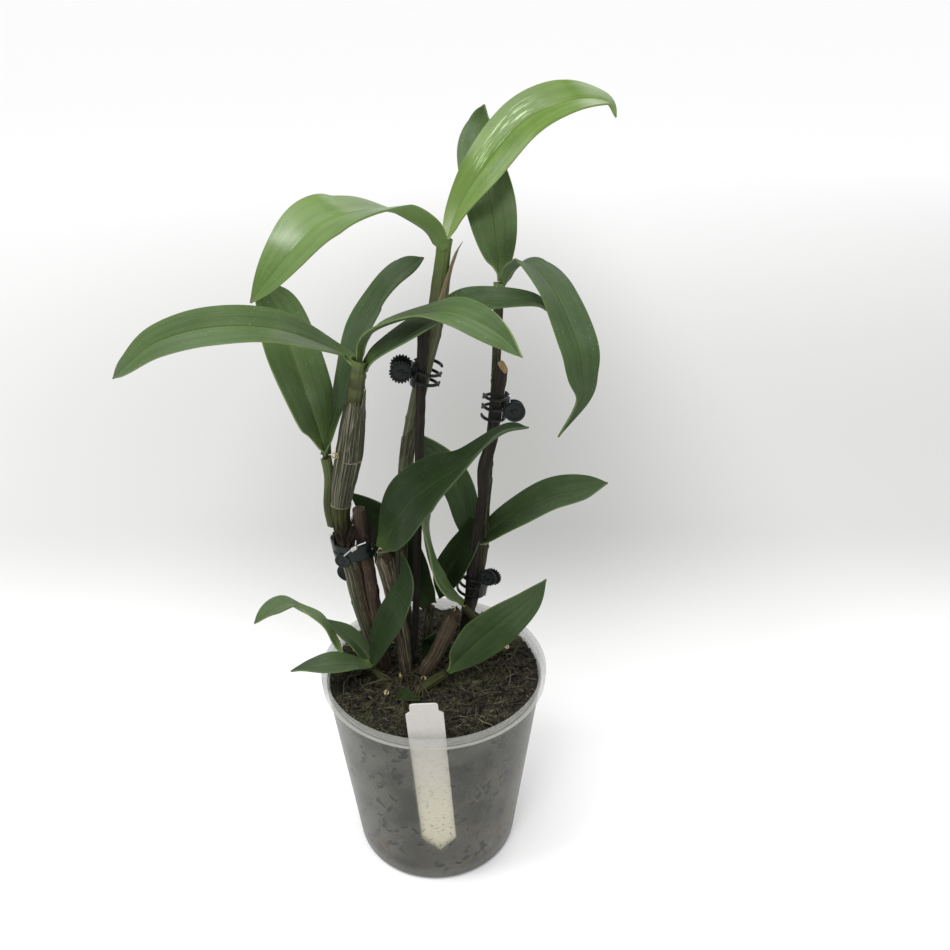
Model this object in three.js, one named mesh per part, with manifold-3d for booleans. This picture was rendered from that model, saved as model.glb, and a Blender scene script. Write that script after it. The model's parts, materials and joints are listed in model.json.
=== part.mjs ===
// A dendrobium orchid in its clear plastic pot: leafy canes clipped to stakes, bark and a plant label.
// Millimetres, +Z up. The origin is on the pot's axis, on the surface that it stands on; -Y is the front.
import * as THREE from "three";
import { mergeVertices } from "three/addons/utils/BufferGeometryUtils.js";
import Module from "manifold-3d";

const wasm = await Module();
wasm.setup();

// ---------- driving dimensions ----------

const GAP = 0.3; // between pieces that touch
const AROUND = 48; // sides of the pot

const POT = {
  foot: 42, // outer radius of the wall where it meets the ground
  flare: 0.12, // how much the wall's radius grows for each millimetre of height
  height: 109,
  wall: 1.2,
  rimRadius: 57,
  rimBand: 5,
  rimWidth: 2.7,
  footRing: 4.5, // width of the outer ring that the pot stands on
  footPad: 16, // radius of the flat middle that it also stands on
  floorUnder: 2, // height of the floor's underside between the two
  floor: 1.6, // thickness of the floor
  corner: 2.4,
  edge: 0.5, // rounding of the rim and of the faces that it stands on
  holes: 6,
  holeRadius: 3,
  holeCircle: 27,
  holeSides: 10,
  notches: 3, // arches in the foot ring
  notchWidth: 10.5,
  notchHeight: 1.6,
  notchTurn: -112, // degrees from +X to the first arch
  archSides: 36,
};

const SOIL = {
  edge: 104.2, // height at the wall
  mound: 2.6, // how much higher it is in the middle
  lump: 0.5,
  clearance: 0.1, // more room at the facets of the pot's wall
  skirt: 1, // height of the band at the wall that stays even
  rings: [45, 36, 27, 18, 9],
  around: 36,
};

const LABEL = {
  top: [-2.6, -54, 130],
  tip: [3, -40.6, 21.6],
  width: 17.5,
  headWidth: 13,
  head: 7, // from the top down to where it is full width
  point: 10, // from the tip up to where it is full width
  chamfer: 1.5, // at the corners of the head
  thick: 0.8,
  slot: 6, // how far its slot in the bark is open towards the wall
};

const STEM_SIDES = 10;
const STAKE_SIDES = 8;
const STEM_STEP = 12; // length of one facet along a stem
const LEAF_STEP = 8; // length of one facet along a leaf
const LEAF_THICK = 0.95;
const LEAF_EDGE = 0.75; // thickness at the edges
const LEAF_FOLD = THREE.MathUtils.degToRad(14); // each half stands up by this from the midrib
const LEAF_CUP = 0.3; // how much of the fold flattens out towards the edges
const LEAF_SWELL = 1.3; // how late a leaf grows wide from its stalk
const LEAF_TAPER = 2.2; // how full it stays towards its tip
const LEAF_TIP = 0.5; // half width of the last facet

const CLAW = 1.1; // thickness of a clip's claws
const CLAW_HIGH = 1.4;
const CLAW_ARC = [30, 176]; // degrees round the grip, from the pin to the claws' tips
const PLATE_END = 48; // where the plate beside the pin ends
const ARM_ROOT = 28; // where the arm stands on the plate
const ARM_THICK = 2;
const PAD_THICK = 1.3;
const PAD_SIDES = 18;
const LOBE = 0.6; // depth of a pad's scallops
const PIN_RADIUS = 0.8;
const PIN_SIDES = 8;
const CLIP_HIGH = 11; // length of a clip's hinge

// Stems and stakes: x, y, z and radius along the middle line, from the foot in the bark to the top.
const STEMS = {
  cane_left: [
    [-27.5, 8, 90, 2.6],
    [-28, 8, 101, 2.8],
    [-32, 7, 124, 3.2],
    [-36, 6, 144, 3.2],
    [-38, 5, 162, 3.3],
    [-41, 3, 180, 3.4],
    [-42, 2, 196, 3.5],
    [-40, 1, 210, 4.8],
    [-36, 0, 227, 5.3],
    [-33, 0, 245, 4.4],
    [-31, -1, 257, 3.2],
    [-29, -2, 269, 2.4],
  ],
  cane_left_side: [
    [-46.6, 3, 188, 1],
    [-47.6, 3, 199, 1.1],
    [-46, 2, 215, 1.1],
    [-47, 2, 228, 1.3],
  ],
  cane_centre: [
    [-9.5, 8, 90, 2.6],
    [-10, 8.5, 101, 2.8],
    [-13, 12, 116, 3],
    [-16, 15, 142, 3],
    [-15.5, 15, 167, 3],
    [-13.5, 14.5, 195, 3],
    [-10, 13, 226, 3],
    [-2, 12, 263, 3],
    [3, 12, 282, 3],
    [5, 12, 296, 3.4],
    [8, 12, 319, 2.2],
  ],
  cane_right: [
    [12.5, 18, 90, 2.2],
    [13, 18, 103, 2.2],
    [18.5, 18, 131, 2.3],
    [22.5, 18, 149, 2.3],
    [24.5, 18, 168, 3],
    [25.5, 18, 188, 2.2],
    [27, 18, 210, 2.2],
    [30, 18, 254, 1.8],
    [31, 17, 290, 1.7],
    [31, 17, 302, 1.6],
  ],
  cane_old_stub: [
    [-13.5, -7, 90, 2.6],
    [-14, -7, 116, 2.9],
    [-16, -7, 138, 3.2],
    [-19, -7, 159, 3.3],
    [-21.5, -9, 177, 3.2],
    [-21.8, -10, 184, 2.4],
  ],
  cane_rear: [
    [-5, 17, 90, 2.3],
    [-4, 17, 114, 2.3],
    [-2, 18, 132, 2.3],
  ],
  cane_old_leaning: [
    [-5.5, -7, 90, 3],
    [-4.5, -6, 107, 3.1],
    [2, -4, 120, 3.2],
    [12, -1, 142.5, 3],
  ],
  shoot_olive: [
    [38, 16, 94, 2],
    [35.5, 14, 103, 2],
    [25.5, 8, 123.5, 2],
    [15, 5, 140.5, 1.9],
  ],
  shoot_front_left: [
    [-18, -17, 96, 1.8],
    [-20, -15, 104, 2],
    [-25, -10, 107, 2],
    [-31, -5, 111, 1.8],
  ],
  shoot_left_low: [
    [-43, -2, 90, 1.8],
    [-45, -3, 107, 1.8],
    [-46.5, -5, 118, 1.6],
  ],
  shoot_front_right: [
    [-13, -19, 97, 2.2],
    [-7, -18, 106, 2.6],
    [0, -16, 110.5, 2.6],
    [7, -15, 115, 2],
  ],
};

const STAKES = {
  stake_left: [
    [-24, 0, 90, 3.2],
    [-25, 0, 117, 3.2],
    [-28.5, 0, 148, 3.1],
    [-30, -1, 166, 3],
    [-33, -3, 202, 3],
  ],
  stake_centre: [
    [-12.5, 1, 90, 1.75],
    [-11.5, 2, 112, 1.75],
    [-8.5, 3, 140, 1.75],
    [-4, 6, 237, 2.1],
    [-1, 7, 290, 2.4],
  ],
  stake_right: [
    [12.8, 9.4, 90, 2.5],
    [13.5, 10, 109, 2.5],
    [17.5, 11, 137, 2.5],
    [20.5, 12, 170, 2.5],
    [24.5, 12, 198, 2.6],
    [25, 12, 214, 3],
    [29, 12, 232, 2.6],
    [33.5, 12, 268, 2.5],
  ],
};

// Spring clips: the middle of the grip, the way that the thumb pads point (degrees from +X),
// the line that it grips, the half axes of the grip and, for each half, the heights of its claws
// and the place of its thumb pad: along the pads' way, across it and up.
const CLIPS = {
  clip_left: {
    at: [-36.6, 0.6, 180],
    heading: 170,
    line: [-0.12, -0.05, 1],
    grip: [9.7, 6.6],
    clawHigh: 3.4,
    front: { claws: [-3.4, 1.4], pad: [4.2, 7.6, -4.5], radius: 3.8 },
    rear: { claws: [-1, 3.8], pad: [9.9, -7.5, -22.8], radius: 5.3 },
  },
  clip_centre: {
    at: [-0.7, 9.4, 262.5],
    heading: 182,
    line: [0.2, 0, 1],
    grip: [5.8, 6.4],
    clawHigh: CLAW_HIGH,
    lobes: 16,
    front: { claws: [-2.3, 2.3], pad: [11.4, 4.2, 0.4], radius: 5.2 },
    rear: { claws: [-4.6, 0, 4.6], pad: [11.4, -2.8, 1.2], radius: 5.2 },
  },
  clip_right_upper: {
    at: [30, 14.7, 245.5],
    heading: -4,
    line: [0.1, 0, 1],
    grip: [5.2, 6.3],
    clawHigh: CLAW_HIGH,
    front: { claws: [-5, 0, 5], pad: [9.2, -4.6, -0.4], radius: 4.9 },
    rear: { claws: [-2.5, 2.5], pad: [8.8, 3.4, -2.6], radius: 4.9 },
  },
  clip_right_lower: {
    at: [20, 14.8, 149],
    heading: -22,
    line: [0.2, 0, 1],
    grip: [6.7, 6.9],
    clawHigh: CLAW_HIGH,
    lobes: 16,
    front: { claws: [-4.6, 0, 4.6], pad: [7.8, -4.6, 8.2], radius: 4.8 },
    rear: { claws: [-2.3, 2.3], pad: [8.4, 2.6, 5], radius: 4.8 },
  },
};

// Leaves: half width, where along the length they are widest, the stalk's share of the width, and the
// midrib's x, y, z from base to tip with the turn of the upper face in degrees (0 faces the front).
const LEAVES = {
  leaf_centre_right: {
    half: 11.2,
    widest: 0.56,
    stalk: 0.22,
    rib: [
      [8.4, 12.4, 319, -50],
      [14, 21, 332, -35],
      [24, 25, 347, -30],
      [41, 32, 365, -45],
      [60, 33, 373, -60],
      [75, 41, 372, -75],
      [80, 38, 366, -75],
    ],
  },
  leaf_centre_left: {
    half: 14,
    widest: 0.65,
    stalk: 0.38,
    rib: [
      [7.2, 9, 317.5, 145],
      [2, 9, 326.5, 130],
      [-12, -2, 336, 115],
      [-24, -23, 340, 90],
      [-36, -32, 338, 60],
      [-47, -40, 329, 45],
      [-62, -44, 312, 25],
    ],
  },
  leaf_right_upright: {
    half: 11.2,
    widest: 0.46,
    stalk: 0.22,
    rib: [
      [31, 20, 301.5, 65],
      [31, 24, 309, 35],
      [29, 25, 324, 5],
      [27, 34, 336, -10],
      [23, 44, 352, -20],
      [24, 49, 363, -35],
      [25, 48, 370, -40],
    ],
  },
  leaf_right_hanging: {
    half: 9,
    widest: 0.35,
    stalk: 0.22,
    rib: [
      [33, 17, 300, -145],
      [37, 18, 307, -125],
      [44, 13, 310, -95],
      [53, -8, 305, -50],
      [61, -28, 290, -20],
      [63, -31, 279, -10],
      [64, -28, 267, -35],
      [55, -29, 250, -45],
    ],
  },
  leaf_left_arching: {
    half: 7.1,
    widest: 0.65,
    stalk: 0.35,
    rib: [
      [-28, -2, 271, -110],
      [-26, -1, 281, -120],
      [-18, -7, 290, -105],
      [2, -17, 299, -90],
      [15, -27, 302, -50],
      [30, -39, 298, -5],
      [38, -53, 294, 10],
    ],
  },
  leaf_left_reaching: {
    half: 10,
    widest: 0.35,
    stalk: 0.22,
    rib: [
      [-27, 1, 268, -55],
      [-20, -8, 278, -80],
      [-6, -11, 288, -80],
      [7, -6, 294, -85],
      [20, -3, 299, -70],
      [44, 2, 298, -70],
      [53, 2, 293, -65],
    ],
  },
  leaf_left_long: {
    half: 8.6,
    widest: 0.35,
    stalk: 0.22,
    rib: [
      [-30, -3, 270, 75],
      [-37, 5, 274, 95],
      [-60, -13, 291, 65],
      [-84, -22, 295, 40],
      [-104, -27, 291, 30],
      [-118, -26, 281, 35],
      [-127, -21, 273, 30],
    ],
  },
  leaf_side_right: {
    half: 11.6,
    widest: 0.65,
    stalk: 0.22,
    rib: [
      [-47, 2, 226, -60],
      [-42, 8, 242, -60],
      [-36, 13, 259, -60],
      [-30, 19, 277, -65],
      [-21, 26, 291, -70],
      [-11, 21, 304, -70],
      [-1, 19, 312, -45],
    ],
  },
  leaf_side_left: {
    half: 13,
    widest: 0.37,
    stalk: 0.22,
    rib: [
      [-47, 4, 225, 70],
      [-50, 4, 240, 55],
      [-53, 3, 253, 50],
      [-60, 12, 272, 35],
      [-65, 18, 288, 25],
      [-69, 17, 298, 30],
      [-70, 15, 308, 30],
    ],
  },
  leaf_stub: {
    half: 14.7,
    widest: 0.35,
    stalk: 0.31,
    rib: [
      [-22, -11, 183, -75],
      [-17, -12, 194, -60],
      [-7, -22, 214, -55],
      [4, -28, 227, -65],
      [14, -31, 236, -85],
      [31, -31, 252, -105],
      [42, -39, 259, -120],
    ],
  },
  leaf_right_inner_up: {
    half: 9.1,
    widest: 0.5,
    stalk: 0.41,
    rib: [
      [23, 19, 164, -15],
      [18, 21, 179, -20],
      [15, 23, 194, -20],
      [9, 25, 207, -15],
      [0, 26, 218, -15],
      [-9, 25, 228, -20],
    ],
  },
  leaf_right_inner_down: {
    half: 9.2,
    widest: 0.59,
    stalk: 0.38,
    rib: [
      [25, 20, 191, 50],
      [20, 16, 176, 50],
      [13, 15, 163, 50],
      [7, 14, 152, 40],
      [3, 11, 141, 40],
    ],
  },
  leaf_right_low: {
    half: 9.4,
    widest: 0.49,
    stalk: 0.39,
    rib: [
      [26, 16, 172, -75],
      [30, 15, 179, -65],
      [43, 10, 192, -65],
      [57, 4, 204, -65],
      [72, 0, 210, -60],
      [81, -4, 215, -65],
    ],
  },
  leaf_rear: {
    half: 12.2,
    widest: 0.39,
    stalk: 0.45,
    rib: [
      [-2, 19, 132, 5],
      [-11, 23, 146, 10],
      [-18, 22, 163, 5],
      [-20, 22, 177, 5],
      [-29, 20, 187, 0],
      [-40, 22, 196, 5],
    ],
  },
  leaf_front_upright: {
    half: 8.7,
    widest: 0.48,
    stalk: 0.22,
    rib: [
      [-31, -5, 110, -60],
      [-27, -10, 126, -50],
      [-21, -13, 142, -50],
      [-16, -18, 155, -50],
      [-10, -16, 170, -55],
      [-13, -13, 184, -25],
    ],
  },
  leaf_olive_shoot: {
    half: 8.5,
    widest: 0.65,
    stalk: 0.35,
    rib: [
      [15, 8, 139, 100],
      [10, 3, 148, 95],
      [5, -2, 157, 90],
      [0, -3, 169, 90],
      [-3, -2, 187, 85],
      [-2, -8, 206, 45],
    ],
  },
  leaf_low_right: {
    half: 11.3,
    widest: 0.42,
    stalk: 0.22,
    rib: [
      [7, -15, 116, 30],
      [13, -11, 121, 15],
      [25, -11, 135, -5],
      [34, -17, 149, -5],
      [45, -21, 163, 5],
      [53, -24, 176, 10],
    ],
  },
  leaf_low_left_front: {
    half: 7.5,
    widest: 0.41,
    stalk: 0.42,
    rib: [
      [-31, -7, 113, 110],
      [-39, -11, 117, 100],
      [-49, -15, 120, 90],
      [-59, -18, 121, 95],
      [-68, -22, 122, 105],
    ],
  },
  leaf_low_left_arching: {
    half: 7.4,
    widest: 0.61,
    stalk: 0.22,
    rib: [
      [-46, -6, 120, 75],
      [-50, -2, 126, 85],
      [-56, 0, 135, 100],
      [-66, 3, 140, 120],
      [-72, 1, 145, 120],
      [-78, -10, 148, 105],
      [-83, -20, 149, 100],
    ],
  },
  leaf_low_left_small: {
    half: 6.2,
    widest: 0.44,
    stalk: 0.45,
    rib: [
      [-32, -3, 112, 75],
      [-35, 0, 115, 75],
      [-41, 3, 121, 80],
      [-47, 4, 127, 80],
      [-54, 6, 132, 85],
    ],
  },
  leaf_soil_centre: {
    half: 4.9,
    widest: 0.54,
    stalk: 0.36,
    rib: [
      [-5, 2, 103, -15],
      [-2, 7, 114, -15],
      [1, 5, 120, -5],
      [7, 5, 125, -10],
    ],
  },
  leaf_soil_front: {
    half: 3.7,
    widest: 0.5,
    stalk: 0.37,
    rib: [
      [-24, -18, 103, -90],
      [-18, -20, 106, -85],
      [-13, -24, 108, -80],
      [-6, -27, 108.5, -75],
    ],
  },
};

// ---------- materials ----------

const surface = (color, roughness, more = {}) =>
  new THREE.MeshStandardMaterial({ color, roughness, metalness: 0, ...more });

const MATERIALS = {
  pot: surface(0xb9bab4, 0.35, { transparent: true, opacity: 0.6 }),
  bark: surface(0x3b3a30, 0.95),
  label: surface(0xe6e5dc, 0.6),
  cane: surface(0x6b6f45, 0.6),
  oldCane: surface(0x6f6548, 0.8),
  shoot: surface(0x77793f, 0.6),
  stake: surface(0x3a322c, 0.85),
  leaf: surface(0x37512b, 0.4),
  newLeaf: surface(0x6c8b3d, 0.4),
  clip: surface(0x1f2525, 0.3),
  pin: surface(0x9a9a98, 0.35, { metalness: 1 }),
};

// ---------- solids ----------

const FRONT = new THREE.Vector3(0, -1, 0);
const UP = new THREE.Vector3(0, 0, 1);
const vector = ([x, y, z]) => new THREE.Vector3(x, y, z);

// The solid of a closed geometry, or of a mesh where it stands.
function solidOf(geometry, matrix = new THREE.Matrix4()) {
  const placed = new THREE.BufferGeometry();
  placed.setAttribute("position", geometry.getAttribute("position").clone());
  placed.setIndex(geometry.index);
  placed.applyMatrix4(matrix);
  const merged = mergeVertices(placed, 1e-3);
  const triVerts = new Uint32Array(merged.index.array);
  const vertProperties = merged.getAttribute("position").array;
  return new wasm.Manifold(new wasm.Mesh({ numProp: 3, vertProperties, triVerts }));
}

function geometryOf(solid) {
  const { vertProperties, triVerts } = solid.getMesh();
  const geometry = new THREE.BufferGeometry();
  geometry.setAttribute("position", new THREE.BufferAttribute(vertProperties, 3));
  geometry.setIndex(new THREE.BufferAttribute(triVerts, 1));
  return geometry;
}

const join = (solids) => solids.reduce((whole, piece) => whole.add(piece));
const cut = (solid, tools) => tools.reduce((left, tool) => left.subtract(tool), solid);

// What stays in one piece after the cuts, without loose scraps.
function largest(solid) {
  return solid.decompose().sort((a, b) => b.volume() - a.volume())[0];
}

// A closed skin over rings that have equally many points and go round right-handed about their line.
// Quads from `under` on are split along the other diagonal.
function skin(rings, under = Infinity) {
  const around = rings[0].length;
  const index = [];
  for (let k = 0; k + 1 < rings.length; k += 1) {
    for (let j = 0; j < around; j += 1) {
      const a = k * around + j;
      const b = k * around + ((j + 1) % around);
      const c = a + around;
      const d = b + around;
      index.push(...(j < under ? [a, b, d, a, d, c] : [a, b, c, b, d, c]));
    }
  }
  const last = (rings.length - 1) * around;
  for (let j = 0; j < around / 2 - 1; j += 1) {
    const [a, b, c, d] = [j, j + 1, around - 2 - j, around - 1 - j];
    index.push(a, c, b, a, d, c);
    index.push(last + a, last + b, last + c, last + a, last + c, last + d);
  }
  const geometry = new THREE.BufferGeometry().setFromPoints(rings.flat());
  geometry.setIndex(index);
  return geometry;
}

// A smooth line through rows of x, y, z and one more value: where it is, where it goes and that value.
function route(rows) {
  const smooth = (points) => new THREE.CatmullRomCurve3(points, false, "catmullrom");
  const line = smooth(rows.map(vector));
  const extra = smooth(rows.map((row) => new THREE.Vector3(row[3], 0, 0)));
  const at = (t) => {
    const along = line.getTangent(t);
    const face = FRONT.clone().addScaledVector(along, -FRONT.dot(along)).normalize();
    return { point: line.getPoint(t), along, face, value: extra.getPoint(t).x };
  };
  return { at, length: line.getLength() };
}

const stations = (length, step) => {
  const count = Math.max(2, Math.round(length / step));
  return Array.from({ length: count + 1 }, (_, k) => k / count);
};

// A round stem along its rows, `grow` thicker than they say.
function stem(rows, sides, grow = 0) {
  const { at, length } = route(rows);
  const rings = stations(length, STEM_STEP).map((t) => {
    const { point, along, face, value } = at(t);
    return Array.from({ length: sides }, (_, j) => {
      const arm = face.clone().applyAxisAngle(along, (2 * Math.PI * (j + 0.5)) / sides);
      return arm.multiplyScalar(value + grow).add(point);
    });
  });
  return skin(rings);
}

// Half width of a leaf at t, as a share of its widest.
function outline(t, widest, stalk) {
  const rise = Math.sin((Math.PI / 2) * Math.min(t / widest, 1)) ** LEAF_SWELL;
  const fall = Math.max(0, (t - widest) / (1 - widest)) ** LEAF_TAPER;
  return (stalk + (1 - stalk) * rise) * (1 - fall);
}

// A leaf folded along its midrib, `grow` larger on every side.
function blade({ half, widest, stalk, rib }, grow = 0) {
  const { at, length } = route(rib);
  const across = [-1, -0.5, 0, 0.5, 1];
  const rings = stations(length, LEAF_STEP).map((t) => {
    const { point, along, face, value } = at(t);
    const normal = face.applyAxisAngle(along, THREE.MathUtils.degToRad(value));
    const side = along.clone().cross(normal);
    const width = Math.max(half * outline(t, widest, stalk), LEAF_TIP) + grow;
    const spot = (c, level) => {
      const lift = width * Math.sin(LEAF_FOLD) * ((1 + LEAF_CUP) * Math.abs(c) - LEAF_CUP * c * c);
      const thick = THREE.MathUtils.lerp(LEAF_THICK, LEAF_EDGE, Math.abs(c)) / 2 + grow;
      return point
        .clone()
        .addScaledVector(side, c * width * Math.cos(LEAF_FOLD))
        .addScaledVector(normal, lift + level * thick);
    };
    return [...across.map((c) => spot(c, 1)), ...across.toReversed().map((c) => spot(c, -1))];
  });
  return skin(rings, across.length);
}

// ---------- the pot, the bark and the label ----------

const wallRadius = (z) => POT.foot + POT.flare * z;

// A closed lathe about +Z through points of radius and height.
function lathe(points, around) {
  const profile = points.map(([r, z]) => new THREE.Vector2(r, z));
  return new THREE.LatheGeometry(profile, around).rotateX(Math.PI / 2);
}

function pot() {
  const floorTop = POT.floorUnder + POT.floor;
  const inner = (z) => wallRadius(z) - POT.wall;
  const under = POT.height - POT.rimBand;
  const { edge } = POT;
  const ring = POT.foot - POT.corner / 2;
  const profile = [
    [0, 0],
    [POT.footPad, 0],
    [POT.footPad + edge, POT.floorUnder],
    [ring - POT.footRing, POT.floorUnder],
    [ring - POT.footRing + edge, 0],
    [ring, 0],
    [wallRadius(POT.corner) - POT.corner / 6, POT.corner / 4],
    [wallRadius(POT.corner), POT.corner],
    [wallRadius(under), under - edge],
    [POT.rimRadius - edge, under],
    [POT.rimRadius, under + edge],
    [POT.rimRadius, POT.height - edge],
    [POT.rimRadius - edge, POT.height],
    [POT.rimRadius - POT.rimWidth + edge, POT.height],
    [POT.rimRadius - POT.rimWidth, POT.height - edge],
    [inner(under), under],
    [inner(floorTop + POT.corner), floorTop + POT.corner],
    [inner(floorTop) - POT.corner / 2, floorTop],
    [0, floorTop],
  ];
  const body = solidOf(lathe(profile, AROUND));
  const arch = (POT.notchWidth ** 2 / 4 + POT.notchHeight ** 2) / (2 * POT.notchHeight);
  const reach = 3 * POT.footRing;
  const notches = Array.from({ length: POT.notches }, (_, k) => {
    const turn = THREE.MathUtils.degToRad(POT.notchTurn + (360 * k) / POT.notches);
    const tool = new THREE.CylinderGeometry(arch, arch, reach, POT.archSides).rotateZ(Math.PI / 2);
    return solidOf(tool.translate(POT.foot, 0, POT.notchHeight - arch).rotateZ(turn));
  });
  const holes = Array.from({ length: POT.holes }, (_, k) => {
    const turn = (2 * Math.PI * k) / POT.holes;
    const tool = new THREE.CylinderGeometry(POT.holeRadius, POT.holeRadius, 4 * POT.floor, POT.holeSides);
    tool.rotateX(Math.PI / 2).translate(POT.holeCircle, 0, POT.floorUnder + POT.floor / 2);
    return solidOf(tool.rotateZ(turn));
  });
  return cut(body, [...notches, ...holes]);
}

// The height of the bark's surface, a low mound with lumps.
function soilHeight(x, y) {
  const out = Math.hypot(x, y) / wallRadius(SOIL.edge);
  const lumps =
    Math.sin(0.33 * x + 1.2) * Math.cos(0.29 * y) + 0.7 * Math.sin(0.61 * x - 0.47 * y + 0.6);
  return SOIL.edge + SOIL.mound * (1 - out * out) + SOIL.lump * lumps;
}

function bark(tools) {
  const bottom = POT.floorUnder + POT.floor + GAP;
  const inner = (z) => wallRadius(z) - POT.wall - GAP;
  const corner = POT.corner + GAP;
  const profile = [
    [0, bottom],
    [inner(bottom) - corner / 2 - GAP, bottom],
    [inner(bottom + corner) - SOIL.clearance, bottom + corner],
    [inner(SOIL.edge) - SOIL.clearance, SOIL.edge - SOIL.skirt],
    ...SOIL.rings.map((r) => [r, SOIL.edge]),
    [0, SOIL.edge],
  ];
  const body = lathe(profile, SOIL.around);
  const position = body.getAttribute("position");
  for (let k = 0; k < position.count; k += 1) {
    if (position.getZ(k) > SOIL.edge - SOIL.skirt / 2) {
      position.setZ(k, soilHeight(position.getX(k), position.getY(k)));
    }
  }
  return largest(cut(solidOf(body), tools));
}

// The label's outline, `grow` larger on every side, with its tip at the origin.
function labelShape(length, grow = 0) {
  const half = LABEL.width / 2 + grow;
  const head = LABEL.headWidth / 2 + grow;
  const neck = length - LABEL.head + 1;
  const shape = new THREE.Shape();
  shape.moveTo(0, -grow);
  shape.lineTo(half, LABEL.point);
  shape.lineTo(half, length - LABEL.head);
  shape.quadraticCurveTo(head, neck, head, length - LABEL.chamfer + grow);
  shape.lineTo(head - LABEL.chamfer, length + grow);
  shape.lineTo(LABEL.chamfer - head, length + grow);
  shape.lineTo(-head, length - LABEL.chamfer + grow);
  shape.quadraticCurveTo(-head, neck, -half, length - LABEL.head);
  shape.lineTo(-half, LABEL.point);
  return shape;
}

// A label's slab from its back face out, and the slot that it stands in, in the label's own frame.
function labelBodies() {
  const length = vector(LABEL.top).distanceTo(vector(LABEL.tip));
  const settings = { bevelEnabled: false, curveSegments: 4 };
  const slab = new THREE.ExtrudeGeometry(labelShape(length), { ...settings, depth: LABEL.thick });
  const slot = new THREE.ExtrudeGeometry(labelShape(length, GAP), { ...settings, depth: LABEL.slot });
  return { slab, slot: slot.translate(0, 0, -GAP) };
}

function labelMatrix() {
  const up = vector(LABEL.top).sub(vector(LABEL.tip)).normalize();
  const out = FRONT.clone().addScaledVector(up, -FRONT.dot(up)).normalize();
  const matrix = new THREE.Matrix4().makeBasis(up.clone().cross(out), up, out);
  return matrix.setPosition(vector(LABEL.tip));
}

// ---------- the clips ----------

// A round thumb pad in the XZ plane, with a scalloped edge where it has lobes.
function pad(radius, lobes = 0) {
  const shape = new THREE.Shape();
  const count = lobes ? 2 * lobes : PAD_SIDES;
  const points = Array.from({ length: count }, (_, k) => {
    const out = lobes && k % 2 ? radius - LOBE : radius;
    const turn = (2 * Math.PI * k) / count;
    return new THREE.Vector2(out * Math.cos(turn), out * Math.sin(turn));
  });
  shape.setFromPoints(points);
  const geometry = new THREE.ExtrudeGeometry(shape, { depth: PAD_THICK, bevelEnabled: false });
  return geometry.translate(0, 0, -PAD_THICK / 2).rotateX(Math.PI / 2);
}

// A bent bar round the grip between two angles, in the XY plane.
function claw([a, b], from, to, high, z) {
  const [start, end] = [from, to].map(THREE.MathUtils.degToRad);
  const shape = new THREE.Shape();
  shape.absellipse(0, 0, a + CLAW, b + CLAW, start, end, end < start, 0);
  shape.absellipse(0, 0, a, b, end, start, end > start, 0);
  const geometry = new THREE.ExtrudeGeometry(shape, { depth: high, bevelEnabled: false, curveSegments: 3 });
  return geometry.translate(0, 0, z - high / 2);
}

// A straight bar with a square section between two points.
function bar(from, to, thick) {
  const along = to.clone().sub(from);
  const geometry = new THREE.BoxGeometry(thick, thick, along.length());
  const turn = new THREE.Quaternion().setFromUnitVectors(UP, along.clone().normalize());
  geometry.applyQuaternion(turn);
  const middle = from.clone().add(to).multiplyScalar(0.5);
  return geometry.translate(middle.x, middle.y, middle.z);
}

// One half of a clip: its claws, the plate beside the hinge, the arm and the thumb pad.
function clipHalf(clip, half) {
  const side = Math.sign(half.pad[1]);
  const start = THREE.MathUtils.radToDeg(Math.asin((PIN_RADIUS + GAP) / clip.grip[1]));
  const [from, to] = CLAW_ARC.map((angle) => angle * side);
  const plate = claw(clip.grip, start * side, PLATE_END * side, CLIP_HIGH, 0);
  const claws = half.claws.map((z) => claw(clip.grip, from, to, clip.clawHigh, z));
  const turn = THREE.MathUtils.degToRad(ARM_ROOT * side);
  const [a, b] = clip.grip.map((axis) => axis + CLAW / 2);
  const root = new THREE.Vector3(a * Math.cos(turn), b * Math.sin(turn), half.pad[2] / 4);
  const thumb = vector(half.pad);
  const arm = bar(root, thumb, ARM_THICK);
  const disc = pad(half.radius, clip.lobes).translate(thumb.x, thumb.y, thumb.z);
  return join([plate, ...claws, arm, disc].map((piece) => solidOf(piece)));
}

function clipGroup(name, clip) {
  const group = new THREE.Group();
  const line = vector(clip.line).normalize();
  const heading = THREE.MathUtils.degToRad(clip.heading);
  const way = new THREE.Vector3(Math.cos(heading), Math.sin(heading), 0);
  way.addScaledVector(line, -way.dot(line)).normalize();
  const basis = new THREE.Matrix4().makeBasis(way, line.clone().cross(way), line);
  group.setRotationFromMatrix(basis);
  group.position.copy(vector(clip.at));
  for (const part of ["front", "rear"]) {
    group.add(named(`${name}_${part}`, geometryOf(clipHalf(clip, clip[part])), MATERIALS.clip));
  }
  const pin = new THREE.CylinderGeometry(PIN_RADIUS, PIN_RADIUS, CLIP_HIGH, PIN_SIDES);
  const pinMesh = named(`${name}_pin`, pin.rotateX(Math.PI / 2), MATERIALS.pin);
  pinMesh.position.x = clip.grip[0] + PIN_RADIUS;
  group.add(pinMesh);
  return group;
}

// ---------- the whole plant ----------

function named(name, geometry, material) {
  const mesh = new THREE.Mesh(geometry, material);
  mesh.name = name;
  return mesh;
}

const orchid = new THREE.Group();
orchid.name = "dendrobium_orchid";
orchid.add(named("pot", geometryOf(pot()), MATERIALS.pot));

const { slab, slot } = labelBodies();
const label = named("label", slab, MATERIALS.label);
label.setRotationFromMatrix(labelMatrix());
label.position.copy(vector(LABEL.tip));
orchid.add(label);

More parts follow.
